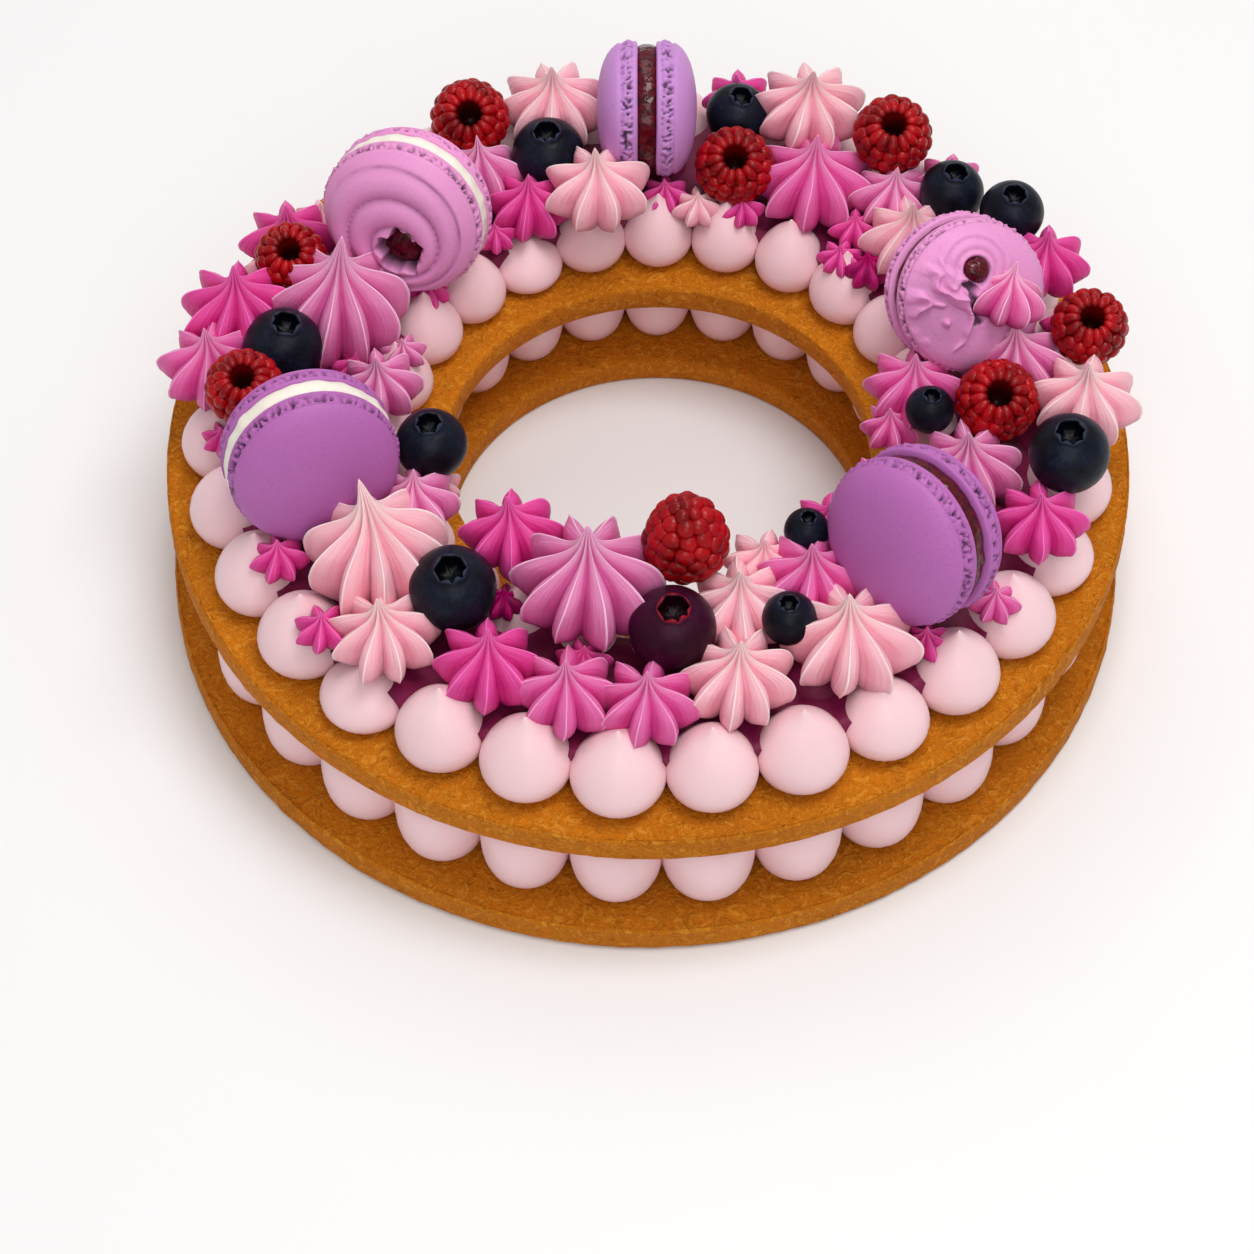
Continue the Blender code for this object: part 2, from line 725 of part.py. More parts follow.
def press_under(bm, solids):
    """Lower the cream's points under each topping until the topping is clear of it."""
    swollen = []
    for solid in solids:
        share = 1 + 2 * GAP / solid["size"]
        points = [solid["centre"] + (point - solid["centre"]) * share for point in solid["points"]]
        swollen.append(BVHTree.FromPolygons(points, solid["faces"]))
    bm.faces.index_update()
    bm.faces.ensure_lookup_table()
    for _ in range(PRESS_ROUNDS):
        cream = BVHTree.FromBMesh(bm)
        pressed = set()
        for solid, tree in zip(solids, swollen):
            for face, _other in cream.overlap(tree):
                high = [vert for vert in bm.faces[face].verts if vert.co.z > BED + TINY]
                if high:
                    pressed.add(min(high, key=lambda vert: (vert.co - solid["centre"]).xy.length))
        if not pressed:
            break
        for vert in pressed:
            vert.co.z = max(BED, vert.co.z - PRESS_STEP)


def fuse(name, core, loose, collection, material):
    """Join the loose pieces of a collection to a core with one Boolean union."""
    body = add_object(name + "_core", core, collection)
    union = body.modifiers.new("union", "BOOLEAN")
    union.operation = "UNION"
    union.operand_type = "COLLECTION"
    union.collection = loose
    union.solver = "EXACT"
    bm = evaluated_bmesh(body)
    for obj in list(loose.objects):
        bpy.data.objects.remove(obj, do_unlink=True)
    bpy.data.collections.remove(loose)
    keep_largest(bm)
    bmesh.ops.dissolve_degenerate(bm, dist=MERGE, edges=bm.edges)
    return add_object(name, bm, collection, material)


def lower_cream(collection, materials, draw):
    """The layer between the biscuits: kisses pressed flat on top."""
    height = CREAM_LAYER - 2 * GAP
    outer = KissRow(OUTER_ROW, height, -STOREY_SHIFT, draw)
    inner = KissRow(INNER_ROW, height, LOWER_HOLE_SHIFT - STOREY_SHIFT, draw)
    bm = cream_ring(PRESSED_ROWS, None, outer, inner, BISCUIT_THICKNESS + GAP, collection)
    add_object("cream_lower", bm, collection, materials["kiss_cream"])


def small_star(row, solids, loose, draw):
    """A small star that sinks into the cream below it and stays clear of the larger toppings."""
    bearing, reach, width, lift = row
    piece = swirl_topping("star", bearing, reach, width, lift)
    piece.place.z -= STAR_SINK
    bm = star_swirl(piece.width, STAR_LOBES, STAR_RINGS)
    set_swirl(bm, piece, draw.uniform(0, math.tau))
    for solid in solids:
        if near(solid, piece.place, piece.width):
            press_on_solid(bm, axis_points(piece), solid)
    add_object("star", bm, loose)


def upper_cream(collection, materials, solids, draw):
    """The top layer: pointed kisses, the bed that the wreath rests on, and small stars."""
    outer = KissRow(OUTER_ROW, OUTER_KISS_HEIGHT, STOREY_SHIFT, draw)
    inner = KissRow(INNER_ROW, INNER_KISS_HEIGHT, STOREY_SHIFT + UPPER_HOLE_SHIFT, draw)
    bm = cream_ring(POINTED_ROWS, BED_HEIGHT - GAP, outer, inner, UPPER_FLOOR + GAP, collection)
    press_under(bm, solids)
    loose = make_collection("small_stars")
    for row in SMALL_STARS:
        small_star(row, solids, loose, draw)
    fuse("cream_upper", bm, loose, collection, materials["kiss_cream"])


def main():
    clear_scene()
    draw = random.Random(SEED)
    collection = make_collection("cream_tart")
    materials = make_materials()
    biscuit("biscuit_lower", 0, -STOREY_SHIFT, LOWER_HOLE_SHIFT, collection, materials["biscuit"])
    lower_cream(collection, materials, draw)
    storey = BISCUIT_THICKNESS + CREAM_LAYER
    biscuit("biscuit_upper", storey, STOREY_SHIFT, UPPER_HOLE_SHIFT, collection, materials["biscuit"])
    solids = make_wreath(collection, materials, draw)
    upper_cream(collection, materials, solids, draw)


main()
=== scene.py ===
"""Ring tart in two storeys, dressed on its CAD frame.

Baked biscuits, piped kisses, star swirls, macarons and berries are made here.

The file is laid out as an add-on: sizes and colours are properties, and each kind of piece has an operator.
"""

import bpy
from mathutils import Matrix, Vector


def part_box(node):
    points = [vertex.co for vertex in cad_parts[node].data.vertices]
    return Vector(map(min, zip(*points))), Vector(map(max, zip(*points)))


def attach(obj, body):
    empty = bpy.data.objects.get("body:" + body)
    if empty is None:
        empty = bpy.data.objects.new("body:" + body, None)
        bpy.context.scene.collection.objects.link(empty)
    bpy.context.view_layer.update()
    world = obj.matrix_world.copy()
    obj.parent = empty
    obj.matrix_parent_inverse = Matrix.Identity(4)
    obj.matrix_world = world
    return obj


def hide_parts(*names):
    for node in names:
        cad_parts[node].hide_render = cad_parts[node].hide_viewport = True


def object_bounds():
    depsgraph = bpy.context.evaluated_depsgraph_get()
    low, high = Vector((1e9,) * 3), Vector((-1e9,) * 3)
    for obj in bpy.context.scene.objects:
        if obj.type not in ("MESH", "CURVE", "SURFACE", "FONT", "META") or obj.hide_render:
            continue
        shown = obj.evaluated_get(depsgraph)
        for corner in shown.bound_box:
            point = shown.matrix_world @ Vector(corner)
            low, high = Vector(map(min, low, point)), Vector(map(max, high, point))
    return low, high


bl_info = {
    "name": "Ring cream tart",
    "version": (1, 0, 0),
    "blender": (4, 5, 0),
    "location": "View3D > Sidebar > Cream tart",
    "description": "Makes a two-storey ring tart with piped cream, macarons and berries",
    "category": "Add Mesh",
}

import math
import random

import bmesh
import bpy
from bpy.props import FloatProperty, FloatVectorProperty, IntProperty, PointerProperty
from mathutils import Matrix, Vector, noise
from mathutils.bvhtree import BVHTree

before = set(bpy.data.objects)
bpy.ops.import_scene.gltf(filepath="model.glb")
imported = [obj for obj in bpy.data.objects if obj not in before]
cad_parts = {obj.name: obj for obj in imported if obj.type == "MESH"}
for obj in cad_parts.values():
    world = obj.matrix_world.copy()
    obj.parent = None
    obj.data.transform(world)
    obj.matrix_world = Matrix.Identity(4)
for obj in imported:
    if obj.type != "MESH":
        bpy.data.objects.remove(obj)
CAD_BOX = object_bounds()

MM = 0.001
SEED = 7
COLLECTION_NAME = "cream tart looks"
MERGE_DISTANCE = 0.01 * MM
STAR_TREE = "piped star"
SETTING_TREE = "shape on points"
TOPPINGS = ("swirl", "macaron", "raspberry", "blueberry")

# The biscuits' holes stand off the biscuits' own centres.
HOLE_RADIUS = 48.7 * MM
LOWER_HOLE_SHIFT = Vector((3 * MM, 6 * MM, 0))
UPPER_HOLE_SHIFT = Vector((2.5 * MM, -1 * MM, 0))
BISCUIT_COLUMNS = 360
BISCUIT_TOP_ROWS = 30
BISCUIT_SIDE_ROWS = 8
BISCUIT_EASE = 0.9 * MM
BISCUITS = {"biscuit_lower": (LOWER_HOLE_SHIFT, 0.0), "biscuit_upper": (UPPER_HOLE_SHIFT, 3.7)}
CRUMB_SCALES = (420, 1100, 45)
RIM_SHARE = 0.99
FACE_DENT = 0.6

# Rows of kisses: count, radius of the row, width of a kiss, angle of the first.
OUTER_ROW = (30, 95.5 * MM, 20.4 * MM, math.radians(2))
INNER_ROW = (24, 62 * MM, 16.8 * MM, 0.0)
MIDDLE_ROW = (26, 79 * MM, 18.5 * MM, math.radians(5))
LOWER_GAP = 0.3 * MM
KISS_COLUMNS = 32
LOWEST_KISS = 0.62

# The bed: where the toppings stand, its own face and the roll of that face.
BED_HEIGHT = 13 * MM
BED_FACE = 10 * MM
BED_ROLL = 0.5 * MM
BED_ROLL_SCALE = 90
BED_STEPS = 14
BED_COLUMNS = 240
MIDDLE_KISS = 1.25 * BED_HEIGHT

# Rays that find the toppings over a kiss: share of half width out, height of the kiss there, how many.
PRESS_RAYS = ((0.0, 1.0, 1), (0.22, 0.80, 6))
RAY_START = 0.2
CORE_INSET = 3 * MM

# A kiss's outline from its tip to its foot: share of half width, share of height.
POINTED_KISS = (
    (0.03, 0.985), (0.075, 0.95), (0.135, 0.91), (0.22, 0.86), (0.35, 0.80), (0.50, 0.73), (0.65, 0.645),
    (0.79, 0.55), (0.90, 0.45), (0.97, 0.355), (1.00, 0.27), (0.985, 0.185), (0.93, 0.105), (0.83, 0.035),
    (0.68, 0.0),
)
PRESSED_KISS = (
    (0.30, 1.0), (0.58, 0.995), (0.75, 0.95), (0.87, 0.87), (0.955, 0.76), (0.995, 0.63), (1.00, 0.51),
    (0.985, 0.37), (0.935, 0.235), (0.85, 0.12), (0.73, 0.035), (0.60, 0.0),
)

# Piped stars, from the tip down: place along the surface, and a share that goes with it.
STAR_CREST = (
    (0, 0), (0.05, 0.035), (0.12, 0.075), (0.20, 0.13), (0.28, 0.23), (0.36, 0.37), (0.44, 0.53),
    (0.52, 0.69), (0.60, 0.83), (0.68, 0.94), (0.75, 1.0), (0.83, 0.98), (0.90, 0.88), (0.97, 0.70),
    (1, 0),
)
STAR_HEIGHT = (
    (0, 1), (0.05, 0.95), (0.12, 0.865), (0.20, 0.77), (0.28, 0.69), (0.36, 0.63), (0.44, 0.585),
    (0.52, 0.54), (0.60, 0.485), (0.68, 0.405), (0.75, 0.29), (0.83, 0.17), (0.90, 0.07), (0.97, 0),
    (1, 0),
)
STAR_VALLEY = (
    (0, 0.85), (0.10, 0.66), (0.22, 0.49), (0.38, 0.39), (0.52, 0.38), (0.64, 0.43), (0.76, 0.50),
    (0.88, 0.62), (1, 0.78),
)
STAR_ROUNDNESS = ((0, 0), (0.34, 0.03), (0.50, 0.35), (0.66, 0.80), (1, 0.9))
CREST_CROWDING = 1.7
CREST_KEEL = 0.05
KEEL_SHARE = 0.06
RIDGE_SHARPNESS = 1.3
UNEVEN_SCALE = 1.3
LOBE_SWAY = 1.2
STILL_LEVEL = 0.35
STAR_LEAN = 0.04
STAR_UNEVENNESS = 0.22
STAR_HEIGHT_SHARE = 0.80
TIP_REACH = 1.5 * MM

# Columns per lobe and rows of a star's skin.
FINE_STAR = (14, 34)
SMALL_STAR = (10, 22)
LARGEST_SMALL = 14
SMALL_HEIGHT_SHARE = 0.66
SMALL_LOBES = 7

# Swirls: width in mm, lobes, cream.
SWIRLS = {
    "swirl_1": (26, 9, "pale"), "swirl_2": (27, 9, "pale"), "swirl_3": (33, 10, "pink"),
    "swirl_4": (33, 10, "pale"), "swirl_5": (33, 10, "pink"), "swirl_6": (30, 9, "pale"),
    "swirl_7": (29, 9, "rose"), "swirl_8": (25, 8, "pale"), "swirl_9": (19, 7, "pink"),
    "swirl_10": (20, 8, "magenta"), "swirl_11": (20, 8, "pink"), "swirl_12": (24, 8, "pale"),
    "swirl_13": (21, 8, "magenta"), "swirl_14": (26, 9, "magenta"), "swirl_15": (24, 8, "rose"),
    "swirl_16": (23, 8, "magenta"), "swirl_17": (20, 8, "pink"), "swirl_18": (25, 9, "pink"),
    "swirl_19": (23, 8, "rose"), "swirl_20": (25, 8, "pale"), "swirl_21": (25, 9, "pink"),
    "swirl_22": (22, 8, "magenta"), "swirl_23": (21, 8, "pink"), "swirl_24": (23, 8, "magenta"),
    "swirl_25": (25, 8, "pale"), "swirl_26": (25, 8, "rose"), "swirl_27": (25, 9, "pale"),
    "swirl_28": (24, 8, "magenta"), "swirl_29": (23, 8, "rose"), "swirl_30": (23, 8, "rose"),
    "swirl_31": (26, 9, "pale"),
}

# How far some swirls' tips lean to the right, back and up, in mm.
TIP_LEAN = {
    "swirl_2": (1.3, -2.0, -0.5), "swirl_3": (3.5, 3.0, 3.5), "swirl_4": (-3.0, 4.0, 3.5),
    "swirl_5": (-1.0, 1.0, 1.0), "swirl_7": (0.8, 1.5, 1.0), "swirl_9": (-1.0, 1.0, 3.0),
    "swirl_18": (0.0, 0.0, 2.0),
}

# How far some pieces stand from their solids' places: to the right, back and up, in mm.
OFF_PLACE = {
    "macaron_2": (-1.4, -1.2, 0.0), "macaron_3": (1.4, 0.0, 0.0), "macaron_4": (-1.6, -0.8, 0.0),
    "macaron_5": (0.0, -1.6, 0.0), "swirl_16": (-1.5, -4.0, -3.5), "raspberry_4": (0.5, -1.5, 2.0),
    "swirl_18": (-5.5, 1.0, 1.5), "blueberry_9": (0.0, -2.4, 4.0), "blueberry_10": (-1.5, -1.2, 2.4),
    "blueberry_11": (-1.0, 0.0, 1.5),
}

# Small stars: bearing in degrees, reach, width and lift off the bed in mm, cream. The darkest cream is the
# magenta cream darkened with painted shade, for stars that sit in shade.
SMALL_STARS = (
    (77, 98, 17, 4, "magenta"), (44, 99, 16, 4, "rose"), (13, 100, 15, 5, "magenta"),
    (-41, 53, 17, 4, "magenta"), (-61, 52, 18, 4, "pale"), (-106, 50, 17, 4, "magenta"),
    (144, 62, 11, 2, "magenta"), (162, 58, 11, 2, "pink"), (-155, 51, 11, 2, "pale"),
    (-5, 55, 14, 2, "rose"), (-20, 54, 11, 2, "rose"), (49, 74, 12, 2, "magenta"),
    (46, 65, 11, 2, "magenta"), (40, 67, 12, 2, "deep"), (79, 64, 12, 2, "pale"),
    (70, 66, 11, 2, "magenta"), (86, 67, 12, 2, "magenta"), (123, 64, 10, 2, "magenta"),
    (-152, 91, 13.5, 3, "magenta"), (-138, 94, 13, 4, "magenta"), (-175, 95, 10, 3, "magenta"),
    (-47, 88, 11, 2, "magenta"), (-36, 93, 12, 3, "rose"), (169, 67, 12, 2, "magenta"),
    (-120, 62, 10, 2, "deep"), (153, 95, 16, 2, "pale"), (143, 95, 13, 3, "pale"),
    (-101, 71.5, 13, 2, "magenta"),
)
STAR_SINK = 2 * MM

# Macarons: heading and rise of the axis in degrees, width and thickness in mm, filling, face, shell.
MACARONS = {
    "macaron_1": (0, 0, 31.5, 23.5, "jam", "smooth", "lilac"),
    "macaron_2": (-108, 16, 38, 20, "milk", "coiled", "pink"),
    "macaron_3": (-73, 12, 38, 23, "milk", "smooth", "mauve"),
    "macaron_4": (-134, 17, 38, 24, "jam", "smooth", "mauve"),
    "macaron_5": (-68, 34, 35, 22, "jam", "crumpled", "pink"),
}
MACARON_COLUMNS = 300
FACE_ROWS = 40
FACE_EDGE = 0.86
FACE_FOOT = 0.70
FACE_LEVEL = 0.93
FACE_SINK = 0.4 * MM
FACE_WAVE = 0.10 * MM
FACE_WAVE_SCALE = 110
RUFFLE_SCALES = (1080, 2100)
RUFFLE_RISE = 0.45 * MM
PIT_DEPTH = 1.3 * MM
FILLING_BULGE = 0.022
FILLING_REACH = {"jam": 0.935, "milk": 0.99}

# Outlines of a macaron from the middle of its face outwards: share of radius, share of half thickness.
SHELL_OUTLINE = (
    (0.15, 0.995), (0.30, 0.98), (0.45, 0.952), (0.58, 0.912), (0.70, 0.858), (0.80, 0.79), (0.88, 0.712),
    (0.935, 0.63), (0.962, 0.572), (0.964, 0.54),
)
FOOT_OUTLINE = (
    (0.950, 0.525), (0.962, 0.49), (0.980, 0.455), (0.992, 0.415), (1.0, 0.375), (1.0, 0.335),
    (0.992, 0.30), (0.984, 0.275), (0.992, 0.25), (0.988, 0.215), (0.965, 0.19), (0.90, 0.18),
)
FOOT_FLOOR = 0.27
FOOT_TOP = 0.53
FILLING_OUTLINE = (
    (0.80, 0.22), (0.95, 0.205), (0.985, 0.15), (1.0, 0.07), (1.0, -0.07), (0.985, -0.15), (0.95, -0.205),
    (0.80, -0.22),
)

# The coiled face: place and size of the hole, turns and depth of the coil.
COIL_HOLE = Vector((0.02, -0.28))
COIL_HOLE_SHARE = 0.24
COIL_TURNS = 2.7
COIL_DEPTH = 1.9 * MM
COIL_ROUNDS = 12
COIL_REACH = 0.96
COIL_FADE = 0.94
HOLE_DEPTH = 3.2 * MM
HOLE_WALL = 0.045
HOLE_TEETH = ((0.030, 5, 1.1), (0.022, 9, 0.0))

# The crumpled face: the drop of jam, the heap of folds, the tear and the small piped star.
DROP_PLACE = Vector((-0.15, 0.38))
DROP_SHARE = 0.17
DROP_ROWS = 14
DROP_COLUMNS = 36
DROP_LUMPS = 0.16
ARC_COUNT = 7.5
ARC_DEPTH = 0.70 * MM
FOLD_PLACE = Vector((-0.40, -0.10))
FOLD_REACH = 0.66
FOLD_SCALE = 2.1
FOLD_DEPTH = 2.3 * MM
TEAR_START = Vector((-0.26, 0.24))
TEAR_WAY = Vector((0.42, -0.91))
TEAR_LENGTH = 0.62
TEAR_WIDTH = 0.075
TEAR_WANDER = 0.07
TEAR_DEPTH = 1.5 * MM
ROSETTE_PLACE = Vector((0.32, -0.12))
ROSETTE_WIDTH = 19 * MM
ROSETTE_HEIGHT = 13.5 * MM
ROSETTE_LEVEL = 0.72

# Berries. Each raspberry has a width in mm and a lean in degrees.
TIP_UP = "raspberry_8"
PURPLE_BERRY = "blueberry_8"
RASPBERRIES = {
    "raspberry_1": (18, 34), "raspberry_2": (18, 26), "raspberry_3": (18, 22), "raspberry_4": (16, 24),
    "raspberry_5": (17, 18), "raspberry_6": (17, 22), "raspberry_7": (18, 28), "raspberry_8": (20, 0),
}

# Rings of drupelets from the rim or tip down: shares of radius out and up, drupelets, half length.
CUP_RINGS = (
    (0.60, 0.66, 14, 0.27), (0.88, 0.38, 15, 0.22), (0.98, 0.02, 16, 0.22), (0.93, -0.33, 15, 0.21),
    (0.76, -0.64, 13, 0.21), (0.48, -0.86, 9, 0.20), (0.17, -0.93, 4, 0.20),
)
TIP_RINGS = (
    (0.0, 1.10, 1, 0.17), (0.23, 1.03, 5, 0.20), (0.46, 0.84, 8, 0.23), (0.66, 0.57, 11, 0.24),
    (0.80, 0.25, 12, 0.24), (0.88, -0.10, 13, 0.24), (0.85, -0.44, 13, 0.23), (0.68, -0.73, 10, 0.22),
    (0.40, -0.92, 7, 0.20),
)
HOLLOW = ((0.20, -0.30), (0.29, 0.10), (0.36, 0.40), (0.42, 0.56))
DRUPELET_OVERLAP = 1.16
DRUPELET_DEPTH = 0.17
DRUPELET_ROWS = 6
DRUPELET_COLUMNS = 10
RIM_FACING = 0.35
CORE_SHARE = 0.90
CORE_COLUMNS = 40
HOLLOW_FLOOR = -0.45
HOLLOW_REACH = 0.46

# A blueberry's crown from the middle of its crater outwards: shares of radius out and up, shares of the jag
# and of the scallops, and the mark of its colour, -1 in the crater, where it paints shade, and 1 on the rim.
CRATER = (
    (0.05, 0.60, 0, 0, -1), (0.13, 0.61, 0, 0, -1), (0.22, 0.64, 1, 0, -1), (0.275, 0.72, 1, 0, -1),
    (0.305, 0.82, 1, 0, -1), (0.325, 0.93, 1, 1, -1), (0.352, 0.985, 1, 1, 1), (0.388, 0.955, 0.35, 1, 1),
)
CROWN_OUT = 0.40
CROWN_HEIGHT = 0.12
CROWN_JAG = 0.11
CROWN_TEETH = 7
BERRY_ROWS = 28
BERRY_COLUMNS = 84
BERRY_GROWTH = 1.01
BERRY_FLATNESS = 0.97
BERRY_WAVE = 0.014

# The floor and the soft lights: name, place, size and power.
FLOOR_HALF = 4.0
FLOOR_DROP = 0.1 * MM
FLOOR_COLOUR = (0.87, 0.855, 0.85)
FLOOR_CLOUD = (0.89, 0.88, 0.875)
SKY_STRENGTH = 0.45
LIGHT_AIM = Vector((0, 0, 0.04))
LIGHTS = (
    ("key light", (0.20, -0.02, 1.08), 0.5, 5.7),
    ("back light", (-0.10, 0.80, 0.95), 0.7, 2.5),
    ("front light", (0.05, -0.85, 0.92), 0.7, 3.2),
)

# The camera of the photograph: a plane angle below the horizon and a distance from the point that it aims at.
CAMERA_TILT = math.radians(52.7)
CAMERA_DISTANCE = 0.9583
CAMERA_AIM = Vector((-4.55 * MM, -22.5 * MM, 0))
CAMERA_SENSOR = 36
CAMERA_LENS = 118.65


def linear(red, green, blue):
    """A colour given in display values from 0 to 255, as the linear light that shaders use."""
    return tuple(
        share / 12.92 if share <= 0.04045 else ((share + 0.055) / 1.055) ** 2.4
        for share in (red / 255, green / 255, blue / 255)
    )


def colour_property(name, description, red, green, blue):
    """A colour that the user can change, with its default in display values."""
    return FloatVectorProperty(
        name=name, description=description, subtype="COLOR", size=3, min=0, max=1,
        default=linear(red, green, blue),
    )


class TartSizes(bpy.types.PropertyGroup):
    """Sizes that a baker would change."""

    outer_kiss: FloatProperty(
        name="Outer kiss", description="Height of a kiss in the upper outer row",
        default=20.5 * MM, min=15 * MM, max=24 * MM, subtype="DISTANCE", unit="LENGTH",
    )
    inner_kiss: FloatProperty(
        name="Inner kiss", description="Height of a kiss in the upper inner row",
        default=18.5 * MM, min=14 * MM, max=22 * MM, subtype="DISTANCE", unit="LENGTH",
    )
    star_twist: FloatProperty(
        name="Star twist", description="Turn of a piped star from its foot to its tip",
        default=math.radians(11), min=0, max=math.radians(60), subtype="ANGLE", unit="ROTATION",
    )
    crumb_depth: FloatProperty(
        name="Crumb depth", description="Depth of the biscuits' uneven crumb",
        default=0.35 * MM, min=0, max=1 * MM, subtype="DISTANCE", unit="LENGTH",
    )
    seed: IntProperty(name="Seed", description="Seed of the unevenness", default=SEED, min=0)


class TartColours(bpy.types.PropertyGroup):
    """Colours of the finishes."""

    biscuit: colour_property("Biscuit", "Baked biscuit", 210, 120, 14)
    biscuit_fleck: colour_property("Biscuit fleck", "Light flecks in the biscuit", 232, 160, 52)
    kiss: colour_property("Kiss", "Cream of the kisses", 250, 212, 217)
    # The bed colour is berry-coloured cream darkened with painted shade.
    bed: colour_property("Bed", "Berry cream between the toppings", 130, 24, 72)
    # Star creams: the crest colours also paint the highlights on the crests and the light on the spires, and
    # the groove colours paint the shade in the grooves and at the foot.
    pale_crest: colour_property("Pale crest", "Crests of the pale stars", 255, 234, 230)
    pale_groove: colour_property("Pale groove", "Grooves of the pale stars", 240, 154, 176)
    pink_crest: colour_property("Pink crest", "Crests of the pink stars", 255, 204, 232)
    pink_groove: colour_property("Pink groove", "Grooves of the pink stars", 208, 62, 148)
    rose_crest: colour_property("Rose crest", "Crests of the rose stars", 246, 168, 214)
    rose_groove: colour_property("Rose groove", "Grooves of the rose stars", 212, 34, 136)
    magenta_crest: colour_property("Magenta crest", "Crests of the magenta stars", 250, 120, 196)
    magenta_groove: colour_property("Magenta groove", "Grooves of the magenta stars", 204, 8, 120)
    lilac_shell: colour_property("Lilac shell", "Lilac macaron shells", 200, 140, 206)
    mauve_shell: colour_property("Mauve shell", "Mauve macaron shells", 182, 104, 176)
    pink_shell: colour_property("Pink shell", "Pink macaron shells", 232, 152, 206)
    jam: colour_property("Jam", "Berry jam", 88, 2, 18)
    milk: colour_property("Milk cream", "White filling", 244, 236, 222)
    raspberry: colour_property("Raspberry", "Raspberry drupelets", 176, 4, 14)
    blueberry: colour_property("Blueberry", "Blueberry skin", 9, 11, 19)
    blueberry_bloom: colour_property("Blueberry bloom", "Dusty bloom on the blueberries", 52, 66, 96)
    blueberry_rim: colour_property("Blueberry rim", "Rims of the blueberries' crowns", 40, 48, 66)
    purple_berry: colour_property("Purple berry", "Skin of the purple berry", 44, 4, 26)
    purple_berry_bloom: colour_property("Purple bloom", "Bloom on the purple berry", 98, 30, 76)
    purple_berry_rim: colour_property("Purple rim", "Rim of the purple berry's crown", 128, 12, 34)


def clamp(value):
    """A number held between 0 and 1."""
    return max(0.0, min(1.0, value))


def way_out(angle):
    """The level direction at an angle."""
    return Vector((math.cos(angle), math.sin(angle), 0))


def collection():
    """The collection that the pieces go in."""
    found = bpy.data.collections.get(COLLECTION_NAME)
    if found is None:
        found = bpy.data.collections.new(COLLECTION_NAME)
        bpy.context.scene.collection.children.link(found)
    return found


def add(name, mesh, *materials):
    """Link a mesh as a smooth object at the origin."""
    mesh.name = name
    mesh.shade_smooth()
    for material in materials:
        mesh.materials.append(material)
    obj = bpy.data.objects.new(name, mesh)
    collection().objects.link(obj)
    return obj


def rings(rows, columns, place, top=None, foot=None, loop=False):
    """Points and faces of a skin of rings, listed from the top down, which single points or a loop close."""
    points = [place(row, math.tau * column / columns) for row in range(rows) for column in range(columns)]
    last = (rows - 1) * columns
    faces = []
    for row in range(rows if loop else rows - 1):
        start = row * columns
        below = (row + 1) % rows * columns
        for column in range(columns):
            after = (column + 1) % columns
            faces.append((start + column, below + column, below + after, start + after))
    if top is not None:
        points.append(top)
        faces += [(len(points) - 1, column, (column + 1) % columns) for column in range(columns)]
    if foot is not None:
        points.append(foot)
        for column in range(columns):
            faces.append((len(points) - 1, last + (column + 1) % columns, last + column))
    return points, faces


def joined(*skins):
    """One mesh of several skins, each given as points, faces and perhaps a material index."""
    points = []
    faces = []
    slots = []
    for skin_points, skin_faces, *slot in skins:
        start = len(points)
        points += [tuple(point) for point in skin_points]
        faces += [tuple(index + start for index in face) for face in skin_faces]
        slots += (slot or [0]) * len(skin_faces)
    mesh = bpy.data.meshes.new("skins")
    mesh.from_pydata(points, [], faces)
    mesh.polygons.foreach_set("material_index", slots)
    mesh.update()
    return mesh


def store(mesh, name, kind, field, values):
    """Store a number or vector for each point of a mesh."""
    mesh.attributes.new(name, kind, "POINT").data.foreach_set(field, values)


def outward(mesh):
    """Merge doubles and turn every face out."""
    bm = bmesh.new()
    bm.from_mesh(mesh)
    bmesh.ops.remove_doubles(bm, verts=bm.verts, dist=MERGE_DISTANCE)
    bmesh.ops.recalc_face_normals(bm, faces=bm.faces)
    bm.to_mesh(mesh)
    bm.free()
    return mesh


class Number:
    """The number that a node puts out. A sum with it adds a Math node."""

    def __init__(self, tree, socket):
        self.tree = tree
        self.socket = socket

    def __add__(self, other):
        return self.tree.math("ADD", self, other)

    def __sub__(self, other):
        return self.tree.math("SUBTRACT", self, other)

    def __rsub__(self, other):
        return self.tree.math("SUBTRACT", other, self)

    def __mul__(self, other):
        return self.tree.math("MULTIPLY", self, other)

    def __truediv__(self, other):
        return self.tree.math("DIVIDE", self, other)

    def __pow__(self, other):
        return self.tree.math("POWER", self, other)

    def __abs__(self):
        return self.tree.math("ABSOLUTE", self)

    __radd__ = __add__
    __rmul__ = __mul__


